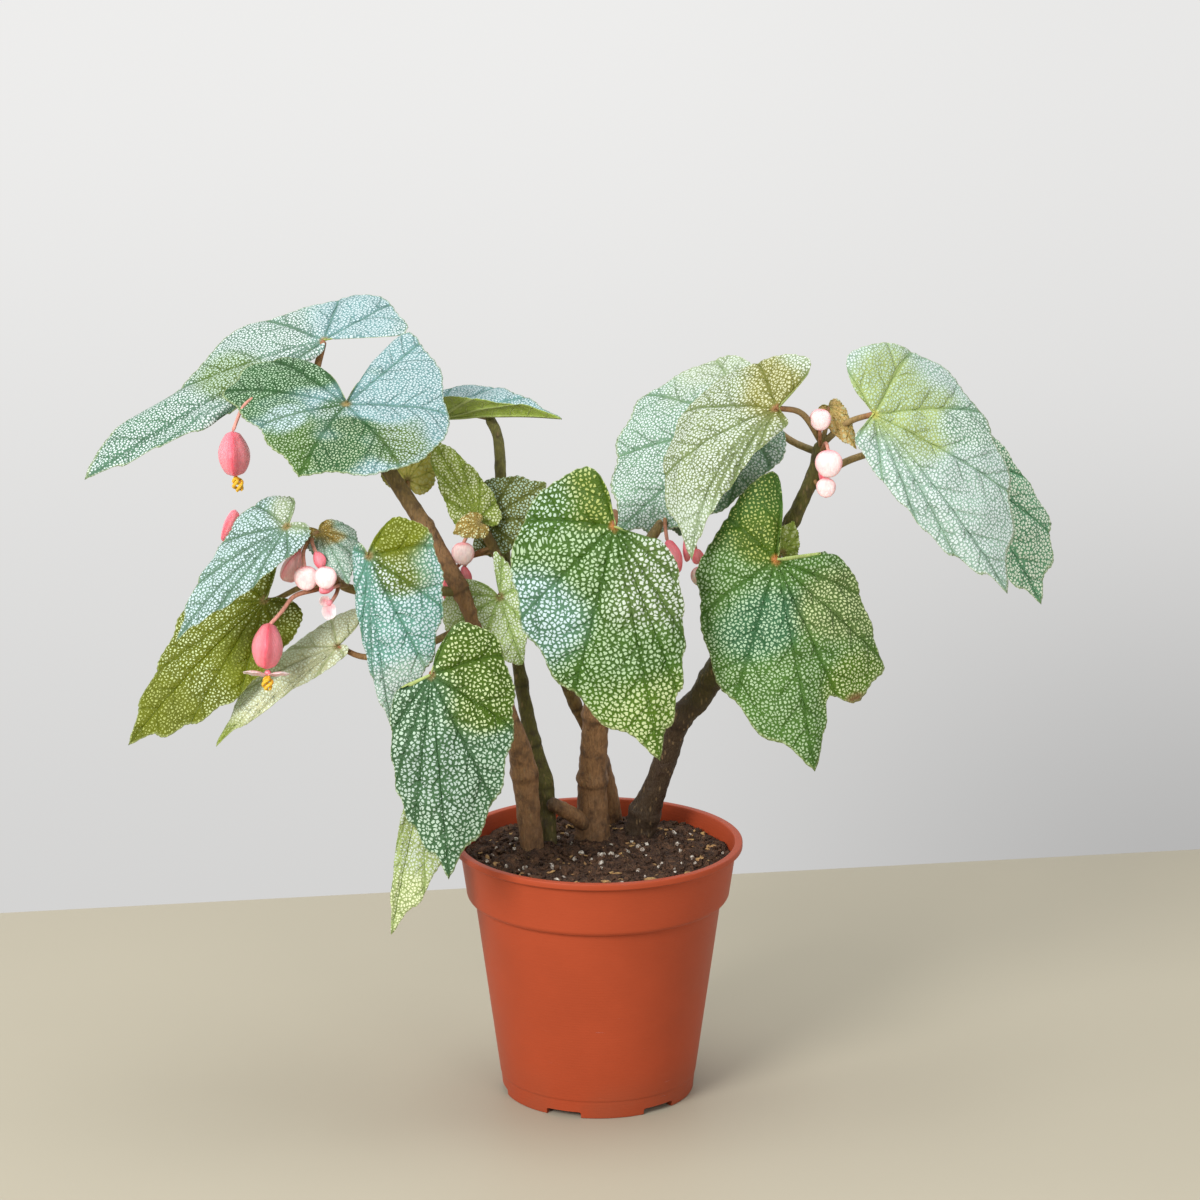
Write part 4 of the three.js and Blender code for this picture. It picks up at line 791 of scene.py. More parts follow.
def vein_field(flat, rays, spacing, seed):
    """For each flat place: how far it is from the nearest main vein, how nearly half-way it is to the next
    one, and the phase of the lesser veins, which leave each side of a main vein in step of their own."""
    lines = np.stack([flat[:, ray] for ray in rays])
    gaps = np.stack([np.linalg.norm(flat[:, :, None] - line, axis=-1).min(-1) for line in lines])
    order = np.sort(gaps, axis=0)
    nearest = gaps.argmin(0)
    side = (np.arange(flat.shape[1])[None, :] > np.array(rays)[nearest]).astype(int)
    start = np.random.default_rng(seed).uniform(0, 1, (len(rays), 2))[nearest, side]
    between = 2 * order[0] / np.maximum(order[0] + order[1], 1e-6)
    forward = np.linalg.norm(flat, axis=-1) - 1.05 * order[0]
    return order[0], between, forward / spacing + start


def blade_colours(leaf, u, v, length):
    """The green network colour with its speckle amount, and the pale ground with how much of it shows."""
    green = np.broadcast_to([*linear(leaf["green"]), leaf["speckle"]], (*u.shape, 4))
    pale = np.broadcast_to([*linear(leaf["pale"]), leaf["silver"]], (*u.shape, 4))
    wander = ripple(np.stack([u, v], -1), 5, 0.5) * 0.25
    # Some zones paint light: the bluish ones are partly a painted reflection of the sky where a blade faces
    # up.
    for place_u, place_v, reach, spot_green, speckle, spot_pale, silver in leaf["spots"]:
        gap = np.hypot(u - place_u, v - place_v) / reach + wander
        share = smooth_step(1.25, 0.55, gap)[..., None]
        green = green * (1 - share) + share * np.array([*linear(spot_green), speckle])
        pale = pale * (1 - share) + share * np.array([*linear(spot_pale), silver])
    near = smooth_step(*SINUS_PATCH, np.hypot(u, v) * length)[..., None]
    sinus = linear(leaf["sinus"])
    green = green * (1 - near) + near * np.array([*sinus, 0])
    pale = pale * (1 - near) + near * np.array([*sinus, leaf["silver"]])
    return green, pale


def sheet_normals(points):
    """The direction in which a grid of points faces at each of them."""
    return unit(np.cross(np.gradient(points, axis=0), np.gradient(points, axis=1)))


def blade_relief(flat, edge, gap, between, net, depth, seed):
    """How far a blade stands out from its plain surface: grooves along the main veins, and swells between
    them and between the lesser ones, which fade out towards the sinus and the margin."""
    swell = smooth_step(0, 0.25, edge) * smooth_step(1, 0.75, edge)
    relief = -GROOVE * depth * np.exp(-((gap / GROOVE_WIDTH) ** 2))
    relief = relief + PLEAT * depth * swell * (1 - np.exp(-gap / 4))
    inside = smooth_step(1, 4, gap) * smooth_step(0.95, 0.6, between)
    relief += QUILT * depth * swell * inside * -np.cos(2 * math.pi * net)
    return relief + BUCKLE * depth * swell * ripple(flat, seed, BUCKLE_SIZE)


def with_centre(table, value):
    """A grid of values as one list, after the value at the sinus."""
    return np.vstack([np.array(value, float)[None], table.reshape(-1, table.shape[-1])])


def blade_form(centre, points, edge, fields, under):
    """A thin closed sheet round a grid of points that fans out from the sinus, thinner at its margin. Its
    fields colour both faces, but for the pale ground, which the underside has in one colour."""
    rings, rays = points.shape[:2]
    count = rings * rays + 1
    normals = sheet_normals(points)
    half = (0.5 * BLADE * (1 - 0.5 * edge ** 6))[..., None]
    middle = normals[0].mean(0) * BLADE / 2
    upper = np.vstack([centre + middle, (points + normals * half).reshape(-1, 3)])
    lower = np.vstack([centre - middle, (points - normals * half).reshape(-1, 3)])
    faces = [(0, 1 + ray, 2 + ray) for ray in range(rays - 1)]
    faces += [(a + 1, d + 1, c + 1, b + 1) for a, b, c, d in grid_faces(rings, rays, closed=False)]
    form = Form()
    form.add(upper, faces, 0, **fields)
    form.add(lower, [face[::-1] for face in faces], 1, **{**fields, "pale": [(*linear(under), 1)]})
    first = [1 + ring * rays for ring in range(rings)]
    rim = [0, *first, *range(count - rays + 1, count), *[a + rays - 1 for a in first[-2::-1]]]
    form.faces += [(a, a + count, b + count, b) for a, b in zip(rim, rim[1:] + rim[:1])]
    form.slots += [0] * len(rim)
    return form


def make_leaf(node, values, top, underside, seed):
    """One leaf: its surface with relief, its colours, and the blade made of them."""
    leaf = {**LEAF_DEFAULTS, **values}
    length = math.dist(leaf["at"], leaf["tip"])
    rays, rings = (SMALL_RAYS, SMALL_RINGS) if leaf["small"] else (RAYS, RINGS)
    line, tooth, turn, veins, arch = leaf_margin(leaf, rays, length)
    share = np.linspace(0, 1, rings + 1)[1:, None]
    reach = share * (1 + (tooth - 1) * share ** 3)
    u = line[:, 0] * reach
    v = line[:, 1] * reach - arch * np.abs(line[:, 0]) * 4 * share ** 2 * (1 - share)
    edge = np.broadcast_to(share, u.shape)
    flat = np.stack([u, v], -1) * length
    spacing = VEIN_SPACING + VEIN_SPREAD * length
    gap, between, net = vein_field(flat, np.flatnonzero(veins), spacing, seed)
    points = leaf_surface(leaf, u, v, edge, np.broadcast_to(turn, u.shape))
    relief = blade_relief(flat, edge, gap, between, net, min(1, length / FULL_LENGTH), seed)
    points = points + sheet_normals(points) * relief[..., None]
    green, pale = blade_colours(leaf, u, v, length)
    offset = np.array((PATTERN_SHIFT * seed, 0, 0))
    fields = {
        "flat": with_centre(np.dstack([leaf["pattern"] * flat, np.zeros(u.shape)]) + offset, offset),
        "vein": with_centre(np.dstack([gap, edge, net, between]), (0, 0, 0, 0)),
        "green": with_centre(green, green[0, 0]), "pale": with_centre(pale, pale[0, 0]),
    }
    form = blade_form(np.array(leaf["at"], float)[None], points, edge, fields, leaf["under"])
    stand_in(node, form.mesh(node, top, underside))


# ---------------------------------------------------------------- canes and stalks

STEM_FOOT = 92
CANE, STUB, STALK, THREAD = "cane", "stub", "stalk", "thread"
LIMB_SIDES = {CANE: 24, STUB: 14, STALK: 14, THREAD: 10}
LIMB_STEP = {CANE: 1.6, STUB: 1.5, STALK: 1.5, THREAD: 1.0}
LIMB_WOOD = {CANE: 1.0, STUB: 1.0, STALK: 0.3, THREAD: 0.0}  # how woody each kind of limb is
KNOT_SWELL, KNOT_REACH = 0.16, 3.2
SCAR_DROP, SCAR_REACH, SCAR_DEPTH, SCAR_SHADE = 2.2, 0.8, 0.05, 0.55  # the leaf scar just below a knot
SKIN_LUMP, SKIN_SIZE = 0.035, 3.4
# The colours of each kind of limb from its root to its end; a cane has its own in its row.
LIMB_TINTS = {
    STUB: ("bark_dark", "bark", "bark", "bark_dark"),
    STALK: ("bark_green", "leafstalk", "leafstalk", "rust"),
    THREAD: ("leafstalk", "rust", "pink"),
}
CANES = {
    "cane_left": dict(
        slot="bark", tints=("bark_dark", "bark", "bark", "bark", "bark_green"),
        knots=(172, 218, 248, 269, 299),
        limbs=[
            (CANE, [(-34, -2, STEM_FOOT), (-34, -2, 128), (-36, -3, 150), (-38, -4, 172), (-42, -8, 192),
                    (-51, -8, 218), (-61, -3, 248), (-71, 2, 269), (-88, 8, 299), (-107, 14, 328),
                    (-116, 16, 343)], (6.2, 6.2, 6, 6.6, 5, 4.8, 4.6, 4.6, 4.4, 4, 3.8)),
            (STUB, [(-38, -4, 168), (-44, -6, 170)], (3.4, 3)),
            (STALK, [(-114, 16, 338), (-140, 30, 344), (-147, 50, 362), (-142, 60, 387)],
             (2.4, 2, 1.9, 1.8)),
            (STALK, [(-115, 16, 340), (-120, 10, 352), (-127, 0, 365)], (2.4, 2, 1.8)),
            (STALK, [(-97, 11, 314), (-97, 18, 314), (-98, 26, 320)], (1.6, 1.4, 1.2)),
            (STALK, [(-70, 2, 267), (-101, -8, 270), (-128, -16, 274), (-139, -20, 289), (-145, -26, 303)],
             (2.6, 2.4, 2)),
            (STALK, [(-145, -26, 302), (-150, -34, 306), (-155, -40, 311)], (1.4, 1.2, 1.2)),
            (STALK, [(-144, -25, 300), (-142, -26, 304), (-140, -25, 305)], (1.4, 1.2, 1.2)),
            (STALK, [(-130, -16, 276), (-150, -8, 272), (-164, -6, 265), (-169, -15, 267)],
             (1.6, 1.5, 1.4, 1.2)),
            (STALK, [(-101, -8, 270), (-108, -30, 290), (-114, -48, 298)], (1.8, 1.6, 1.4)),
            (STALK, [(-63, -1, 252), (-100, -14, 238), (-120, -18, 238), (-132, -20, 244)], (2, 1.8, 1.4)),
            (STALK, [(-57, -5, 236), (-70, -34, 240), (-83, -67, 242)], (2, 1.8, 1.6)),
            (STALK, [(-45, -8, 200), (-66, -16, 196), (-84, -24, 187), (-88, -35, 182)],
             (1.8, 1.7, 1.6, 1.4)),
            (THREAD, [(-114, 16, 338), (-135, 22, 354), (-158, 22, 363), (-172, 14, 366), (-179, 7, 363),
                      (-185, 4, 350)], (1.5, 1.4, 1.3, 1.5, 0.9, 0.9)),
            (THREAD, [(-145, -26, 302), (-165, -12, 294), (-184, -10, 294), (-190, -12, 298)],
             (1.2, 1, 0.9)),
            (THREAD, [(-127, -17, 275), (-130, -30, 279), (-141, -38, 278), (-152, -40, 275),
                      (-158, -43, 268), (-164, -47, 262)], (1.4, 2, 1.2, 1.2, 1, 1)),
            (THREAD, [(-144, -25, 302), (-148, -28, 300), (-150, -30, 295)], (1.2, 1, 0.9)),
            (THREAD, [(-143, -25, 301), (-143, -34, 302), (-140.5, -40, 297)], (1.2, 1, 0.9)),
            (THREAD, [(-144, -25, 302), (-147, -38, 297), (-146, -42, 289)], (1.2, 1, 0.9)),
            (THREAD, [(-130, -30, 279), (-132, -40, 286), (-135, -46, 290)], (1.2, 1, 0.9)),
            (THREAD, [(-130, -30, 279), (-130, -38, 280), (-133, -42, 280)], (1.2, 1, 0.9)),
            (THREAD, [(-130, -30, 279), (-131, -40, 276), (-134, -45, 272)], (1.2, 1, 0.9)),
        ],
    ),
    "cane_slim": dict(
        slot="green_bark", tints=("bark_dark", "bark_green", "bark_green", "stem_green", "stem_green"),
        knots=(162, 183, 214, 255, 297),
        limbs=[
            (CANE, [(-26, 9, STEM_FOOT), (-26, 9, 128), (-28, 12, 162), (-34, 16, 183), (-40, 22, 214),
                    (-46, 30, 255), (-50, 36, 297), (-52, 42, 340), (-57, 46, 350)],
             (4.8, 4.8, 4.6, 4, 3.2, 3.1, 3.1, 3, 2.6)),
            (STALK, [(-55, 46, 349), (-68, 50, 350), (-82, 50, 347)], (2.2, 1.8, 1.6)),
        ],
    ),
    "cane_main": dict(
        slot="bark", tints=("bark_dark", "bark", "bark", "bark_green", "leafstalk"),
        knots=(162, 199, 242, 277),
        limbs=[
            (CANE, [(-3, 20, STEM_FOOT), (-3, 20, 127), (-3, 18, 162), (-1, 12, 199), (2, 0, 242),
                    (13, -10, 277), (28, -8, 299), (37, 2, 312)], (9.6, 9.6, 7.4, 6.8, 6.2, 5, 3.2, 2)),
            (STUB, [(-6, 16, 138), (-16, 6, 148), (-26, -2, 156)], (4.6, 4, 3.6)),
            (STALK, [(2, -1, 244), (4, -24, 292), (8, -44, 319), (8, -55, 315)], (2.2, 2, 1.8)),
            (STALK, [(35, 0, 310), (38, 5, 314)], (1.4, 1.2)),
            (THREAD, [(34, -2, 308), (34, -12, 304), (35, -14, 297)], (1.2, 1, 0.9)),
            (THREAD, [(35, -1, 309), (42, -6, 304), (44, -7, 297)], (1.2, 1, 0.9)),
            (THREAD, [(36, 0, 310), (46, -4, 301), (50, -4, 290)], (1.2, 1, 0.9)),
        ],
    ),
    "cane_back": dict(
        slot="bark", tints=("bark", "bark", "bark_green", "leafstalk"), knots=(166, 200, 236, 266),
        limbs=[
            (CANE, [(9, 46, STEM_FOOT), (9, 46, 128), (2, 38, 166), (-12, 28, 200), (-27, 22, 236),
                    (-44, 18, 266), (-54, 16, 287), (-60, 12, 300)],
             (4.4, 4.4, 3.8, 3.2, 3, 2.8, 2.6, 2.8)),
            (STALK, [(-59, 13, 298), (-61, 10, 303)], (1.6, 1.4)),
            (THREAD, [(-58, 14, 296), (-65, 9, 297), (-69, 6, 291)], (1.2, 1, 0.9)),
            (THREAD, [(-54, 16, 287), (-64, 11, 284), (-69, 8, 278)], (1.2, 1, 0.9)),
            (THREAD, [(-53, 16, 285), (-68, 18, 280), (-78, 16, 270)], (1.2, 1, 0.9)),
            (STALK, [(-45, 18, 268), (-48, 8, 268), (-50, -5, 266)], (1.8, 1.6, 1.4)),
            (STALK, [(-59, 13, 298), (-58, 17, 299), (-57, 20, 300)], (1.6, 1.4, 1.2)),
            (STALK, [(-59, 12, 298), (-60, 6, 301), (-60, 2, 303)], (1.6, 1.4, 1.2)),
        ],
    ),
    "cane_right": dict(
        slot="bark",
        tints=("bark_dark", "bark_dark", "bark_dark", "bark_green", "bark_green", "bark_green"),
        knots=(140, 196, 218, 257, 284, 304),
        limbs=[
            (CANE, [(22, 32, STEM_FOOT), (22, 32, 128), (24, 31, 138), (30, 26, 155), (36, 20, 175),
                    (42, 14, 196), (51, 12, 206), (58, 10, 218), (74, 2, 257), (88, 2, 284), (99, 4, 304),
                    (110, 6, 329), (114, 8, 345)], (8, 9, 8, 6.2, 6, 6.4, 6, 5, 4.6, 4, 3.8, 3.6, 3.8)),
            (STUB, [(44, 13, 197), (41, 11, 205)], (3.4, 2.6)),
            (STALK, [(114, 7, 343), (102, -8, 362), (89, -20, 367)], (1.8, 1.6, 1.4)),
            (STALK, [(113, 7, 338), (99, 18, 342), (86, 24, 350), (75, 15, 351)], (2, 1.8, 1.7, 1.5)),
            (STALK, [(114, 8, 343), (126, 6, 354), (139, -5, 361)], (1.8, 1.6, 1.4)),
            (STALK, [(106, 6, 318), (124, 10, 332), (150, 24, 336), (179, 40, 330)], (2, 1.8, 1.6)),
            (STALK, [(114, 8, 344), (116, 9, 354), (117, 10, 362)], (1.4, 1.2, 1)),
            (STALK, [(82, 2, 272), (84, -16, 290), (89, -35, 293)], (2.2, 2, 1.6)),
            (STALK, [(88, 2, 284), (92, -6, 288), (93, -14, 291)], (1.2, 1.1, 1)),
            (THREAD, [(113, 7, 340), (112, -1, 350), (112, -2, 361)], (1.2, 1, 0.9)),
            (THREAD, [(113, 7, 338), (115, -6, 346), (116, -12, 342)], (1.2, 1, 0.9)),
            (THREAD, [(112, 6, 334), (113, -2, 339), (113, -4, 335)], (1.2, 1, 0.9)),
            (THREAD, [(109, 5, 326), (113, -2, 322), (115, -9, 328)], (1.2, 1, 0.9)),
        ],
    ),
}


def carried_frames(line):
    """Two directions across a line at each of its points, carried along it without twisting."""
    ways = unit(np.gradient(line, axis=0))
    start = np.array((1.0, 0, 0)) if abs(ways[0][0]) < 0.9 else np.array((0, 1.0, 0))
    first = [unit(start - ways[0] * (start @ ways[0]))]
    for way in ways[1:]:
        first.append(unit(first[-1] - way * (first[-1] @ way)))
    first = np.array(first)
    return first, np.cross(ways, first)


def blended(names, shares):
    """Palette colours blended evenly along a line."""
    table = np.array([linear(name) for name in names])
    spots = np.linspace(0, 1, len(names))
    return np.stack([np.interp(shares, spots, table[:, channel]) for channel in range(3)], axis=1)


def add_limb(form, kind, path, radii, tints, knots, seed):
    """A round limb with swollen joints, uneven skin and a domed end."""
    length = smooth_curve(path)[1][-1]
    steps = max(6, round(length / LIMB_STEP[kind]))
    shares = np.linspace(0, 1, steps)
    line = along_curve(path, shares)
    first, second = carried_frames(line)
    radius = np.interp(shares, np.linspace(0, 1, len(radii)), radii)
    woody = LIMB_WOOD[kind]
    scars = np.zeros(steps)
    for height in knots:
        away = line[:, 2] - height
        radius = radius * (1 + KNOT_SWELL * np.exp(-((away / KNOT_REACH) ** 2)))
        scars = np.maximum(scars, np.exp(-(((away + SCAR_DROP) / SCAR_REACH) ** 2)))
    radius = radius * (1 - SCAR_DEPTH * scars)
    dome = np.sqrt(np.clip((1 - shares) * length / radii[-1], 0, 1))
    radius = radius * np.maximum(dome, 0.12)
    sides = LIMB_SIDES[kind]
    angles = round_angles(sides)
    spokes = first[:, None] * np.cos(angles)[:, None] + second[:, None] * np.sin(angles)[:, None]
    places = line[:, None] + spokes * radius[:, None, None]
    skin = ripple(places * (1, 1, 0.5), seed, SKIN_SIZE) * SKIN_LUMP * (0.3 + woody)
    places = line[:, None] + spokes * (radius[:, None] * (1 + skin))[..., None]
    tint = blended(tints, shares) * (1 - SCAR_SHADE * scars * woody)[:, None]
    table = np.column_stack([tint, np.full(steps, woody)])
    points = np.vstack([places.reshape(-1, 3), line[:1], line[-1:]])
    tints = np.vstack([np.repeat(table, sides, axis=0), table[:1], table[-1:]])
    form.add(points, capped_faces(steps, sides), 0, tint=tints)


def make_cane(name, cane, material, seed):
    form = Form()
    for index, (kind, path, radii) in enumerate(cane["limbs"]):
        tints = cane["tints"] if kind == CANE else LIMB_TINTS[kind]
        knots = cane["knots"] if kind == CANE else ()
        add_limb(form, kind, path, radii, tints, knots, seed + index)
    stand_in(name, form.mesh(name, material))


# ---------------------------------------------------------------- blooms

OVARY_WINGS = (1, 0.78, 0.7)
OVARY_CORE = 0.62
OVARY_NECK = 0.22
OVARY_WING_WIDTH = 0.3
BUD_WIDTH, BUD_FLATNESS = 0.52, 0.46
PETAL_WIDTH = 0.85
PETAL_CUP = 0.25
PETAL_THICKNESS = 0.35
HEART_RADIUS, HEART_REACH = 1.7, (0, 0, 1.8)
STIGMA_ARMS, STIGMA_TURNS, STIGMA_REACH = 3, 0.8, 0.32
SEED_CASES = {
    "seed_case_left_high": ((-185, 4, 350), (-184, 4, 327), 12.5, 90, "coral"),
    "seed_case_left_behind": ((-190, -12, 297), (-183, -12, 313), 4.4, 0, "coral"),
    "seed_case_cluster_wide": ((-149, -30, 296), (-158, -31, 281), 7, 0, "blush"),
    "seed_case_cluster_high": ((-141, -40, 298), (-138, -42, 290), 4, 0, "coral"),
    "seed_case_cluster_low": ((-132, -42, 280), (-139, -45, 279), 3.6, 0, "coral"),
    "seed_case_left_low": ((-164, -47, 263), (-166, -49, 240), 12, 90, "coral"),
    "seed_case_back_near": ((-69, 8, 279), (-68, 8, 267), 4, 0, "coral"),
    "seed_case_back_far": ((-78, 16, 271), (-78, 16, 259), 4, 0, "coral"),
    "seed_case_main_wide": ((35, -14, 298), (39, -15, 280), 5.6, 0, "coral"),
    "seed_case_main_slim": ((44, -7, 297), (45, -8, 285), 2.6, 0, "coral"),
    "seed_case_main_right": ((50, -4, 291), (50, -5, 283), 4, 0, "coral"),
    "seed_case_right": ((113, -4, 337), (114, -5, 325), 3.6, 0, "coral"),
}
BUDS = {
    "bud_cluster_left": ((-146, -41, 291), (-145, -44, 279)),
    "bud_cluster_right": ((-135, -46, 292), (-136, -49, 281)),
    "bud_back": ((-69, 6, 292), (-69, 5, 280)),
    "bud_main": ((52, -5, 282), (52, -7, 272)),
    "bud_right_high": ((112, -2, 363), (112, -4, 352)),
    "bud_right_mid": ((116, -12, 344), (116, -14, 330)),
    "bud_right_low": ((115, -9, 329), (115, -11, 319)),
}
OPEN_PETALS = {
    "petals_cluster": ((-134, -45, 273), (0, -1, 0.2), ((-134, -48, 265), (-139, -48, 276))),
    "petals_left_low": ((-165, -50, 238), (0, -0.4, -1), ((-177, -53, 241), (-154, -53, 240))),
}
STIGMAS = {
    "stigma_left_high": ((-184, 4, 326.5), (-182, 4, 319)),
    "stigma_left_low": ((-165, -51.5, 237), (-165, -54, 230)),
}


def frame_between(at, tip, turn=0):
    """The start, axis and length from one point to another, and two directions across it."""
    start = np.array(at, float)
    span = np.array(tip, float) - start
    length = np.linalg.norm(span)
    axis = span / length
    across = np.array((1.0, 0, 0)) if abs(axis[0]) < 0.9 else np.array((0, 0, 1.0))
    across = unit(across - axis * (across @ axis))
    third = np.cross(axis, across)
    angle = math.radians(turn)
    turned = across * math.cos(angle) + third * math.sin(angle)
    return start, axis, length, turned, np.cross(axis, turned)


def add_round(form, start, axis, length, across, third, radius_at, tint_at, rings=34, sides=60):
    """A closed body round an axis, with a radius and colour for each share along it and angle round it."""
    shares = np.linspace(0, 1, rings)[:, None]
    angles = round_angles(sides)[None, :]
    radius = radius_at(shares, angles)
    spokes = across * np.cos(angles)[..., None] + third * np.sin(angles)[..., None]
    points = start + axis * (length * shares)[..., None] + spokes * radius[..., None]
    tint = tint_at(np.broadcast_to(shares, radius.shape), np.broadcast_to(angles, radius.shape))
    ends = [start, start + axis * length]
    all_points = np.vstack([points.reshape(-1, 3), *[end[None] for end in ends]])
    table = np.vstack([tint.reshape(-1, 3), tint[0].mean(0)[None], tint[-1].mean(0)[None]])
    form.add(all_points, capped_faces(rings, sides), 0, tint=np.column_stack([table, np.zeros(len(table))]))


def make_seed_case(name, at, tip, wide, turn, tone, material):
    """A three-winged seed case with thin wings, a round core and a short neck."""
    frame_parts = frame_between(at, tip, turn)

    def wing_parts(angles):
        near, reach = np.zeros_like(angles), np.zeros_like(angles)
        for index, size in enumerate(OVARY_WINGS):
            away = np.angle(np.exp(1j * (angles - 2 * math.pi * index / 3)))
            peak = np.exp(-np.abs(away / OVARY_WING_WIDTH) ** 1.5)
            reach = np.where(peak > near, size, reach)
            near = np.maximum(near, peak)
        return near, reach

    def radius_at(shares, angles):
        near, reach = wing_parts(angles)
        swell = OVARY_NECK + (1 - OVARY_NECK) * np.sin(math.pi * (0.04 + 0.88 * shares ** 1.15)) ** 0.85
        skew = 1 + 0.12 * np.sin(math.pi * shares * 2) * near
        ends = np.sqrt(np.clip(np.minimum(shares, 1 - shares) * 14 + 0.05, 0, 1))
        return wide * swell * ends * (OVARY_CORE + (reach - OVARY_CORE) * near * skew)

    def tint_at(shares, angles):
        near, _ = wing_parts(angles)
        red = linear("rose" if tone == "blush" else "coral")
        deep = linear("coral" if tone == "blush" else "ruby")
        pale = linear("blush" if tone == "blush" else "rose")
        top = smooth_step(0.3, 0.0, shares)[..., None]
        edge = smooth_step(0.82, 1.0, near)[..., None]
        wing = smooth_step(0.05, 0.5, near)[..., None]
        tint = pale * (1 - wing) + (0.45 * pale + 0.55 * red) * wing
        tint = tint * (1 - 0.7 * edge) + deep * 0.7 * edge
        return tint * (1 - 0.4 * top) + deep * 0.4 * top

    form = Form()
    add_round(form, *frame_parts, radius_at, tint_at)
    stand_in(name, form.mesh(name, material))


def make_bud(name, at, tip, material):
    """Two round petals pressed together, with a seam round their edge."""
    start, axis, length, across, third = frame_between(at, tip)

    def radius_at(shares, angles):
        body = np.sqrt(np.clip(1 - (2 * shares - 1) ** 2, 0.001, 1)) * (1 - 0.18 * (shares - 0.4))
        flatness = 1 / np.sqrt(np.cos(angles) ** 2 + (np.sin(angles) / BUD_FLATNESS) ** 2)
        seam = np.exp(-((np.sin(angles) / 0.1) ** 2))
        return BUD_WIDTH * length * body * flatness * (1 - 0.06 * seam)

    def tint_at(shares, angles):
        middle = smooth_step(0.0, 0.5, np.abs(np.sin(angles))) * smooth_step(0.0, 0.15, shares)
        middle = (0.95 * middle * smooth_step(1.02, 0.9, shares))[..., None]
        seam = 0.4 * linear("rose") + 0.6 * linear("blush")
        tint = seam * (1 - middle) + linear("petal") * middle
        top = smooth_step(0.22, 0.0, shares)[..., None]
        return tint * (1 - 0.4 * top) + linear("coral") * 0.4 * top

    form = Form()
    add_round(form, start, axis, length, across, third, radius_at, tint_at, rings=28, sides=48)
    stand_in(name, form.mesh(name, material))


def add_petal(form, root, tip, face, seed):
    """A thin round petal, cupped, with a slightly waved margin."""
    start = np.array(root, float)
    span = np.array(tip, float) - start
    half = np.linalg.norm(span) / 2
    along = span / 2 / half
    normal = np.array(face, float)
    normal = unit(normal - along * (normal @ along))
    left = np.cross(along, normal)
    rings, sides = 16, 56
    shares = np.linspace(0.02, 1, rings)[:, None]
    angles = round_angles(sides)[None, :]
    wave = 1 + 0.03 * np.sin(5 * angles + seed) * shares ** 2
    u = np.sin(angles) * shares * PETAL_WIDTH * wave
    v = -np.cos(angles) * shares * wave
    lift = PETAL_CUP * shares ** 2 + 0.03 * np.sin(7 * angles + seed) * shares ** 3
    points = start + along * (half * (1 + v))[..., None] + left * (half * u)[..., None]
    points = points + normal * (half * lift)[..., None]
    normals = np.broadcast_to(normal, points.shape)
    thick = PETAL_THICKNESS * (1 - 0.6 * shares ** 3)[..., None]
    upper, lower = points + normals * thick / 2, points - normals * thick / 2
    middle = (start + along * half)[None]
    tints = linear("rose") * (1 - shares[..., None]) + linear("petal") * shares[..., None]
    base = smooth_step(0.2, -0.9, v)[..., None]
    tints = np.broadcast_to(tints, points.shape) * (1 - 0.5 * base) + linear("rose") * 0.5 * base
    table = np.column_stack([np.vstack([tints.reshape(-1, 3), tints[0, :1]]), np.zeros(rings * sides + 1)])
    faces = grid_faces(rings, sides)
    hub = rings * sides
    faces += [(hub, (side + 1) % sides, side) for side in range(sides)]
    form.add(np.vstack([upper.reshape(-1, 3), middle]), [face[::-1] for face in faces], 0, tint=table)
    form.add(np.vstack([lower.reshape(-1, 3), middle]), faces, 0, tint=table)
    first = form.total - 2 * (hub + 1) + (rings - 1) * sides
    for side in range(sides):
        a, b = first + side, first + (side + 1) % sides
        form.faces.append((a, a + hub + 1, b + hub + 1, b))
        form.slots.append(0)


def make_petals(name, at, face, tips, material):
    """Open petals round a small pink heart."""
    form = Form()
    for index, tip in enumerate(tips):
        add_petal(form, at, tip, face, index)
    heart = frame_between(np.array(at) + HEART_REACH, np.array(at) - HEART_REACH)
    pink = linear("rose")
    add_round(
        form, *heart, lambda s, a: HEART_RADIUS * np.sqrt(np.clip(1 - (2 * s - 1) ** 2, 0, 1)) + 0 * a,
        lambda s, a: np.broadcast_to(pink, (*s.shape, 3)), rings=12, sides=24,
    )
    stand_in(name, form.mesh(name, material))


def make_stigma(name, at, tip, material):
    """Three curly arms that twist round the bloom's axis."""
    start, axis, length, across, third = frame_between(at, tip)
    form = Form()
    for arm in range(STIGMA_ARMS):
        path = []
        for share in np.linspace(0, 1, 9):
            angle = 2 * math.pi * (arm / STIGMA_ARMS + STIGMA_TURNS * share)
            out = across * math.cos(angle) + third * math.sin(angle)
            swing = STIGMA_REACH * math.sin(math.pi * min(share, 0.8))
            path.append(start + length * (axis * share + out * swing))
        add_limb(form, THREAD, path, (0.9, 0.9, 0.75), ("yellow", "yellow"), (), 60 + arm)
    stand_in(name, form.mesh(name, material))


# ---------------------------------------------------------------- pot and compost

POT_HEIGHT = 135
WALL = 1.5
FOOT_RADIUS = 50
BODY_TAPER = 0.135
BAND_BOTTOM = 105
BAND_RADIUS = 68.2
BAND_TOP_RADIUS = 71.6
LIP_BOTTOM = 130.5
LIP_RADIUS = 75
POT_SIDES = 240
NOTCHES = 6
NOTCH_SIZE = (19, 14, 6.8)
NOTCH_FIRST_ANGLE = -21
NOTCH_ROUNDING = 1.2
DRAIN_RADIUS = 5
DRAIN_CIRCLE = 36
DRAIN_DEPTH = 24  # more than the base is thick, so that the hole goes through
SHARP_ANGLE = 40
SOIL_TOP = 129
SOIL_DIP = 2.5
SOIL_RADIUS = 69


def body_radius(height):
    """The outer radius of the pot below its band."""
    return FOOT_RADIUS + BODY_TAPER * height


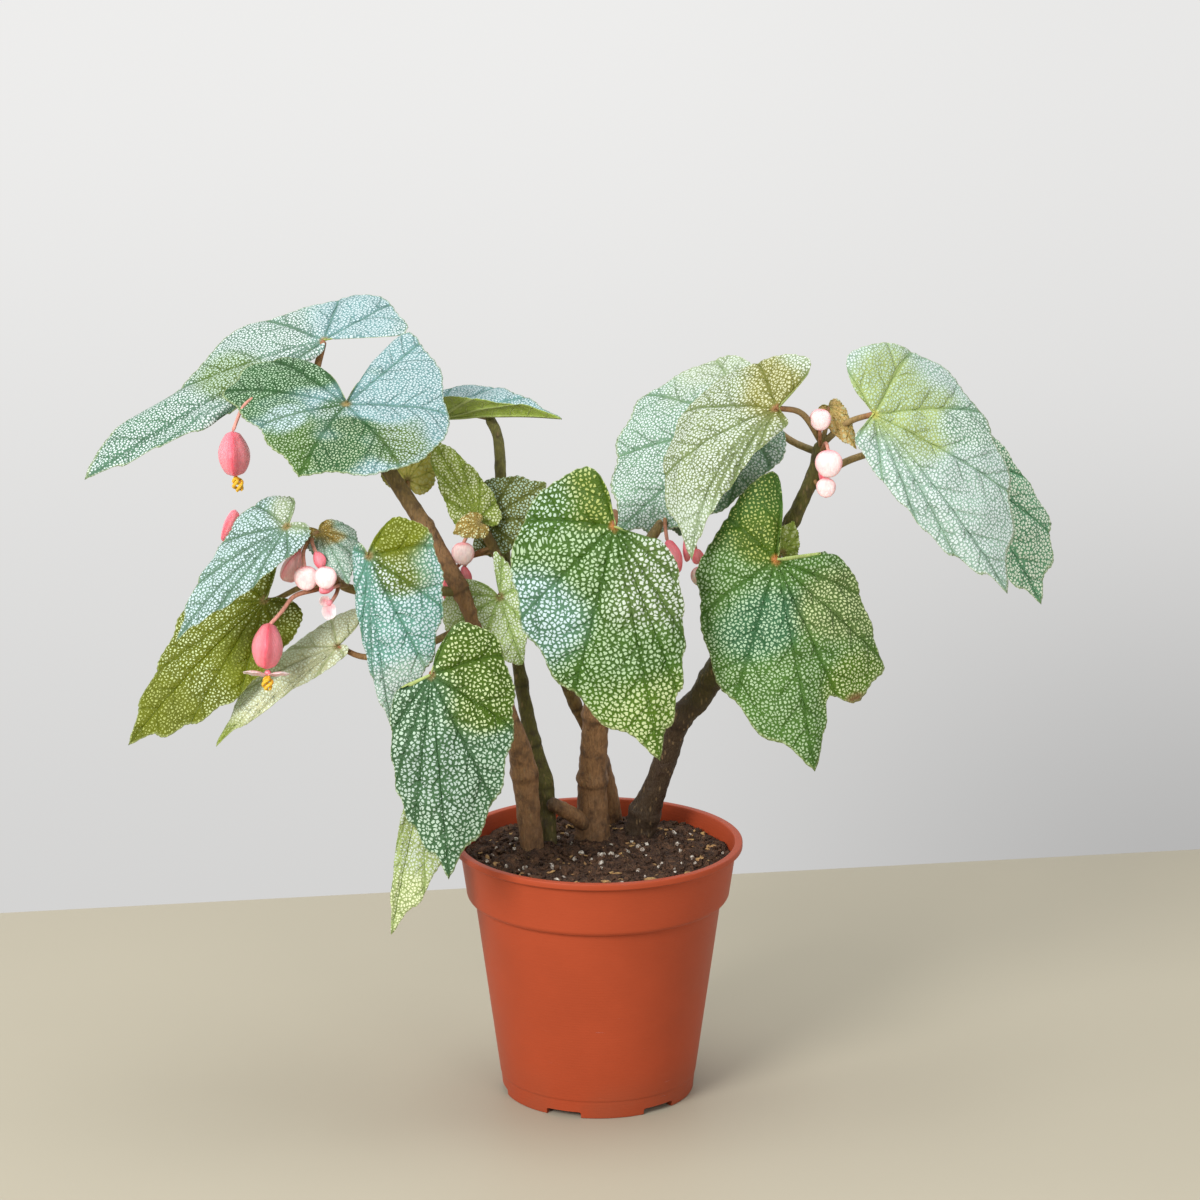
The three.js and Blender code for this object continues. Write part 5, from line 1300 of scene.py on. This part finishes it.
def rounded(corners, radius=0.7, steps=5):
    """A closed outline with its corners rounded off."""
    corners = np.array(corners, float)
    result = []
    for index, corner in enumerate(corners):
        before, after = corners[index - 1], corners[(index + 1) % len(corners)]
        if corner[0] == 0:
            result.append(corner)
            continue
        gaps = [np.linalg.norm(other - corner) for other in (before, after)]
        reach = min(radius, 0.4 * min(gaps))
        start, end = (corner + (other - corner) / gap * reach for other, gap in zip((before, after), gaps))
        for t in np.linspace(0, 1, steps):
            result.append((1 - t) ** 2 * start + 2 * t * (1 - t) * corner + t * t * end)
    return np.array(result)


def pot_outline():
    """Half of the pot's section, from the middle of its underside out and up round to its inner floor."""
    inner = FOOT_RADIUS - 3.5
    return [
        (0, 0), (15, 0), (15, 4), (inner, 4), (inner, 0),
        (FOOT_RADIUS, 0), (body_radius(10) - 0.4, 9.4), (body_radius(10), 10),
        (body_radius(BAND_BOTTOM), BAND_BOTTOM), (BAND_RADIUS - 1.2, BAND_BOTTOM + 0.2),
        (BAND_RADIUS, BAND_BOTTOM + 2), (BAND_TOP_RADIUS, LIP_BOTTOM), (LIP_RADIUS, LIP_BOTTOM + 1.4),
        (LIP_RADIUS, POT_HEIGHT), (BAND_TOP_RADIUS - 0.6, POT_HEIGHT),
        (BAND_TOP_RADIUS - WALL, LIP_BOTTOM), (BAND_RADIUS - WALL, BAND_BOTTOM + 2.6),
        (body_radius(BAND_BOTTOM) - WALL, BAND_BOTTOM + 1.4), (body_radius(6) - WALL, 6), (0, 6),
    ]


def lathe_mesh(name, outline, sides, material):
    """An outline of radius and height turned about the vertical axis; its ends lie on the axis."""
    form = Form()
    angles = round_angles(sides)
    middle = outline[1:-1]
    rows = np.stack([
        middle[:, :1] * np.sin(angles), -middle[:, :1] * np.cos(angles),
        np.broadcast_to(middle[:, 1:], (len(middle), sides)),
    ], axis=-1)
    ends = [[0, 0, outline[0][1]], [0, 0, outline[-1][1]]]
    form.add(np.vstack([rows.reshape(-1, 3), ends]), capped_faces(len(middle), sides))
    return form.mesh(name, material)


def cutter(mesh_maker, angle):
    """A hidden tool body, turned to its place round the pot."""
    tool_mesh = bpy.data.meshes.new("tool")
    work = bmesh.new()
    mesh_maker(work)
    work.to_mesh(tool_mesh)
    work.free()
    tool = new_object("tool", tool_mesh)
    tool.rotation_euler = (0, 0, angle)
    return tool


def notch_form(work):
    """A rounded block at the front of the foot."""
    bmesh.ops.create_cube(work, size=MILLIMETRE)
    for vertex in work.verts:
        vertex.co = Vector(a * b for a, b in zip(vertex.co, NOTCH_SIZE))
        vertex.co.y -= FOOT_RADIUS * MILLIMETRE
    bmesh.ops.bevel(
        work, geom=list(work.edges), offset=NOTCH_ROUNDING * MILLIMETRE, segments=4, affect="EDGES",
        profile=0.5,
    )


def drain_form(work):
    """An upright rod through the base."""
    bmesh.ops.create_cone(
        work, cap_ends=True, segments=40, radius1=DRAIN_RADIUS * MILLIMETRE,
        radius2=DRAIN_RADIUS * MILLIMETRE, depth=DRAIN_DEPTH * MILLIMETRE,
    )
    for vertex in work.verts:
        vertex.co.y -= DRAIN_CIRCLE * MILLIMETRE


def make_pot(material):
    """The pot with drainage notches round its foot and a hole through its base between each two."""
    mesh = lathe_mesh("pot", rounded(pot_outline()), POT_SIDES, material)
    pot = new_object("pot_body", mesh)
    tools = []
    for index in range(NOTCHES):
        angle = math.radians(NOTCH_FIRST_ANGLE + 360 * index / NOTCHES)
        tools.append(cutter(notch_form, angle))
        tools.append(cutter(drain_form, angle + math.pi / NOTCHES))
    for tool in tools:
        cut = pot.modifiers.new("cut", "BOOLEAN")
        cut.object = tool
        cut.solver = "EXACT"
    bpy.context.view_layer.update()
    shown = pot.evaluated_get(bpy.context.evaluated_depsgraph_get())
    final = bpy.data.meshes.new_from_object(shown)
    final.name = "pot_body"
    for unused in (pot, *tools):
        bpy.data.objects.remove(unused)
    for polygon in final.polygons:
        polygon.use_smooth = True
    final.set_sharp_from_angle(angle=math.radians(SHARP_ANGLE))
    stand_in("pot", final)


SOIL_BOTTOM = 6.3
SOIL_FIT = 1.8  # between the pot's outer face and the side of the compost
SOIL_WALL = (
    (body_radius(6) - SOIL_FIT, SOIL_BOTTOM), (body_radius(BAND_BOTTOM) - SOIL_FIT, BAND_BOTTOM + 1.7),
    (66.4, BAND_BOTTOM + 3),
)
SOIL_SIDES, SOIL_RINGS = 200, 74
SOIL_LUMPS = ((1.1, 3, 26), (0.7, 4, 9), (0.45, 8, 4))  # the height, seed and size of each kind of lump
STEM_FEET = ((-34, -2, 6.2), (-26, 9, 4.8), (-3, 20, 9.6), (9, 46, 4.4), (22, 32, 9))
STEM_MOUND, MOUND_REACH = 2.2, 7
# The loose bits: how many, their least and greatest size, their shape and the seed of their draws.
LOOSE_BITS = {
    "soil_crumbs": (900, (1.4, 3.6), (1, 0.85, 0.7), 11),
    "perlite": (70, (1.5, 3.4), (1, 0.9, 0.8), 12),
    "bark_bits": (110, (2, 5), (1, 0.4, 0.25), 13),
}
BIT_SUNK, CHIP_SUNK = 0.35, 0.3  # how much of a bit or a chip lies in the compost
BIT_LEVEL, CHIP_LEVEL = 2, 3  # how finely their meshes are divided
BIT_GAP = 1.5  # between a bit's middle and a cane
CHIP_SHAPE = (1.0, 0.5, 0.28)
CHIP_SEED = 21


def soil_height(places):
    """The lumpy surface of the compost, a little higher round the canes."""
    back = (places[..., 1] + BAND_RADIUS) / (2 * BAND_RADIUS)
    height = SOIL_TOP - SOIL_DIP * back
    for lump, seed, size in SOIL_LUMPS:
        height = height + lump * ripple(places, seed, size)
    for x, y, radius in STEM_FEET:
        away = np.hypot(places[..., 0] - x, places[..., 1] - y)
        height = height + STEM_MOUND * np.exp(-((np.maximum(away - radius, 0) / MOUND_REACH) ** 2))
    edge = np.hypot(places[..., 0], places[..., 1]) / SOIL_RADIUS
    return np.minimum(height - 1.2 * smooth_step(0.9, 1, edge), POT_HEIGHT - 1.5)


def make_soil(material):
    """The compost down to the base of the pot."""
    angles = round_angles(SOIL_SIDES)
    ring = np.stack([np.sin(angles), -np.cos(angles)], -1)
    rows = []
    for radius, height in SOIL_WALL:
        rows.append(np.column_stack([ring * radius, np.full(SOIL_SIDES, height)]))
    for share in np.linspace(1, 0.012, SOIL_RINGS):
        flat = ring * share * SOIL_RADIUS
        rows.append(np.column_stack([flat, soil_height(flat)]))
    middle = soil_height(np.zeros((1, 2)))[0]
    points = np.vstack([*rows, [[0, 0, SOIL_BOTTOM]], [[0, 0, middle]]])
    form = Form()
    form.add(points, capped_faces(len(rows), SOIL_SIDES))
    stand_in("soil", form.mesh("soil", material))


def ball_template(level):
    """The points and faces of a small round body."""
    work = bmesh.new()
    bmesh.ops.create_icosphere(work, subdivisions=level, radius=1)
    points = np.array([vertex.co[:] for vertex in work.verts])
    faces = [[vertex.index for vertex in face.verts] for face in work.faces]
    work.free()
    return points, faces


def scatter(name, material):
    """Bits strewn on the compost, each uneven and turned its own way, clear of the canes."""
    count, size, shape, seed = LOOSE_BITS[name]
    draw = np.random.default_rng(seed)
    ball, faces = ball_template(BIT_LEVEL)
    form = Form()
    made = 0
    while made < count:
        angle, share = draw.uniform(0, 2 * math.pi), math.sqrt(draw.uniform(0, 0.93))
        spot = np.array((math.sin(angle), -math.cos(angle))) * share * SOIL_RADIUS
        if any(math.hypot(spot[0] - x, spot[1] - y) < radius + BIT_GAP for x, y, radius in STEM_FEET):
            continue
        add_bit(form, ball, faces, spot, draw.uniform(*size), shape, BIT_SUNK, draw)
        made += 1
    return place(name, form.mesh(name, material))


def add_bit(form, ball, faces, spot, size, shape, sunk, draw):
    """One bit, turned any way if it is round and laid nearly level if it is flat."""
    turned = np.linalg.qr(draw.normal(size=(3, 3)))[0]
    if shape[2] < 0.5:
        tilt = unit(np.array((*draw.normal(scale=0.25, size=2), 1.0)))
        side = unit(np.cross(tilt, (*draw.normal(size=2), 0.0)))
        turned = np.array([side, np.cross(tilt, side), tilt])
    if np.linalg.det(turned) < 0:
        turned = -turned
    uneven = 1 + 0.28 * ripple(ball * 1.0, int(draw.integers(1e6)), 1.1, 5)
    points = (ball * uneven[:, None] * np.array(shape) * size / 2) @ turned
    height = soil_height(spot[None])[0] + (0.5 - sunk) * size * shape[2]
    form.add(points + (*spot, height), faces)


CHIP_SPOTS = (
    (22, -64, 9), (37, -55, 7), (27, -47, 6), (10, -40, 6), (30, -36, 5), (46, -42, 6),
    (-12, -58, 5), (-40, -46, 6), (-52, -22, 5), (52, -14, 5), (4, -52, 5), (60, 10, 5),
)


def make_chips(material):
    """The larger pieces of bark and wood, laid where they show at the front."""
    draw = np.random.default_rng(CHIP_SEED)
    ball, faces = ball_template(CHIP_LEVEL)
    form = Form()
    for x, y, size in CHIP_SPOTS:
        add_bit(form, ball, faces, np.array((x, y), float), size, CHIP_SHAPE, CHIP_SUNK, draw)
    return place("wood_chips", form.mesh("wood_chips", material))


# ---------------------------------------------------------------- the scene

CAMERA_PLACE = (0.001, -1.907, 0.747)
CAMERA_PITCH = 14.24
CAMERA_LENS = 115.56
CAMERA_SENSOR = 36
# The lights' places, sizes in metres, strengths in watts and tints.
LIGHTS = {
    "key": ((-1.5, -2.05, 1.55), 1.2, 75, (1.0, 0.985, 0.965)),
    "panel": ((-0.1, 0.1, 1.7), 1.0, 11, (0.97, 0.99, 1.0)),
    "fill": ((0.55, -1.0, 0.5), 0.5, 2.5, (1.0, 0.99, 0.97)),
}
LIGHTS_AIM = (0, 0, 0.25)
# How the surround's strength changes with direction: from where to where, and from how much to how much.
SURROUND_BACK = (-0.1, 0.3, 0.58, 0.83)
SURROUND_HEIGHT = (-0.36, -0.08, 0.78, 1.03)
# The dip towards the lower right is a painted shadow of the plant on the backdrop.
SURROUND_RIGHT = (-0.02, 0.16)
SURROUND_LOW_RIGHT = (-0.33, -0.18, 0.68, 0.95)
SURROUND_TINT = (1.0, 0.995, 0.985, 1)
FLOOR_REACH = 3.0
FLOOR_BACK = ((-0.36, 0.276), (0.378, 0.4))  # two points of the line where the floor ends behind the plant


def make_camera():
    """A camera at the photograph's viewing angle."""
    camera = bpy.data.cameras.new("camera")
    camera.lens = CAMERA_LENS
    camera.sensor_width = CAMERA_SENSOR
    piece = new_object("camera", camera)
    piece.location = CAMERA_PLACE
    piece.rotation_euler = (math.radians(90 - CAMERA_PITCH), 0, 0)
    bpy.context.scene.camera = piece


def make_floor():
    """A plain pale floor, which ends a little askew behind the plant, before the pale surround."""
    reach = FLOOR_REACH
    (x0, y0), (x1, y1) = FLOOR_BACK
    slope = (y1 - y0) / (x1 - x0)
    left, right = y0 - slope * (reach + x0), y1 + slope * (reach - x1)
    mesh = bpy.data.meshes.new("floor")
    corners = [(-reach, -reach, 0), (reach, -reach, 0), (reach, right, 0), (-reach, left, 0)]
    mesh.from_pydata(corners, [], [(0, 1, 2, 3)])
    mesh.materials.append(floor_material())
    piece = new_object("floor", mesh)


def add_light(name, place_at, size, energy, tint):
    light = bpy.data.lights.new(name, "AREA")
    light.shape = "DISK"
    light.size = size
    light.energy = energy
    light.color = tint
    piece = new_object(name, light)
    piece.location = place_at
    piece.rotation_euler = (Vector(LIGHTS_AIM) - Vector(place_at)).to_track_quat("-Z", "Y").to_euler()


def make_surround():
    """Even pale light, brighter behind the plant, dimmer there towards the ground and the lower right."""
    world = bpy.data.worlds.new("surround")
    world.use_nodes = True
    tree = world.node_tree

    def link(node, **values):
        for key, value in values.items():
            socket = node.inputs[key.replace("_", " ")]
            if isinstance(value, bpy.types.NodeSocket):
                tree.links.new(value, socket)
            else:
                socket.default_value = value
        return node.outputs[0]

    def fade(value, low, high, start, end):
        node = tree.nodes.new("ShaderNodeMapRange")
        node.interpolation_type = "SMOOTHSTEP"
        return link(node, Value=value, From_Min=low, From_Max=high, To_Min=start, To_Max=end)

    way = tree.nodes.new("ShaderNodeSeparateXYZ")
    tree.links.new(tree.nodes.new("ShaderNodeTexCoord").outputs["Generated"], way.inputs[0])
    x, y, z = way.outputs
    strength = fade(y, *SURROUND_BACK)
    # a painted shadow of the plant: dimmer to the right and low down
    lower_right_painted_shadow = fade(x, *SURROUND_RIGHT, 1.0, fade(z, *SURROUND_LOW_RIGHT))
    for share in (fade(z, *SURROUND_HEIGHT), lower_right_painted_shadow):
        product = tree.nodes.new("ShaderNodeMath")
        product.operation = "MULTIPLY"
        tree.links.new(strength, product.inputs[0])
        tree.links.new(share, product.inputs[1])
        strength = product.outputs[0]
    link(tree.nodes["Background"], Color=SURROUND_TINT, Strength=strength)
    return world


def make_lights():
    """A large soft key from the upper left front, a cool panel above, a small fill and the surround."""
    for name, values in LIGHTS.items():
        add_light(name, *values)
    bpy.context.scene.world = make_surround()
    bpy.context.scene.view_settings.view_transform = "Standard"


def make_plant():
    top, underside = leaf_top_material(), leaf_under_material()
    stem, bloom, yellow = stem_material(), bloom_material(), stigma_material()
    for index, (name, values) in enumerate(LEAVES.items()):
        make_leaf(name, values, top, underside, index + 1)
    for index, (name, cane) in enumerate(CANES.items()):
        make_cane(name, cane, stem, 100 + 40 * index)
    for name, (at, tip, wide, turn, tone) in SEED_CASES.items():
        make_seed_case(name, at, tip, wide, turn, tone, bloom)
    for name, (at, tip) in BUDS.items():
        make_bud(name, at, tip, bloom)
    for name, (at, face, tips) in OPEN_PETALS.items():
        make_petals(name, at, face, tips, bloom)
    for name, (at, tip) in STIGMAS.items():
        make_stigma(name, at, tip, yellow)


def make_potful():
    make_pot(pot_material())
    compost = soil_material()
    make_soil(compost)
    scatter("soil_crumbs", compost)
    scatter("perlite", grain_material("perlite", "perlite", "soil_pale", 900.0))
    wood = grain_material("wood_chip", "chip", "bark", 500.0)
    scatter("bark_bits", wood)
    make_chips(wood)


make_camera()
make_floor()
make_lights()
make_plant()
make_potful()
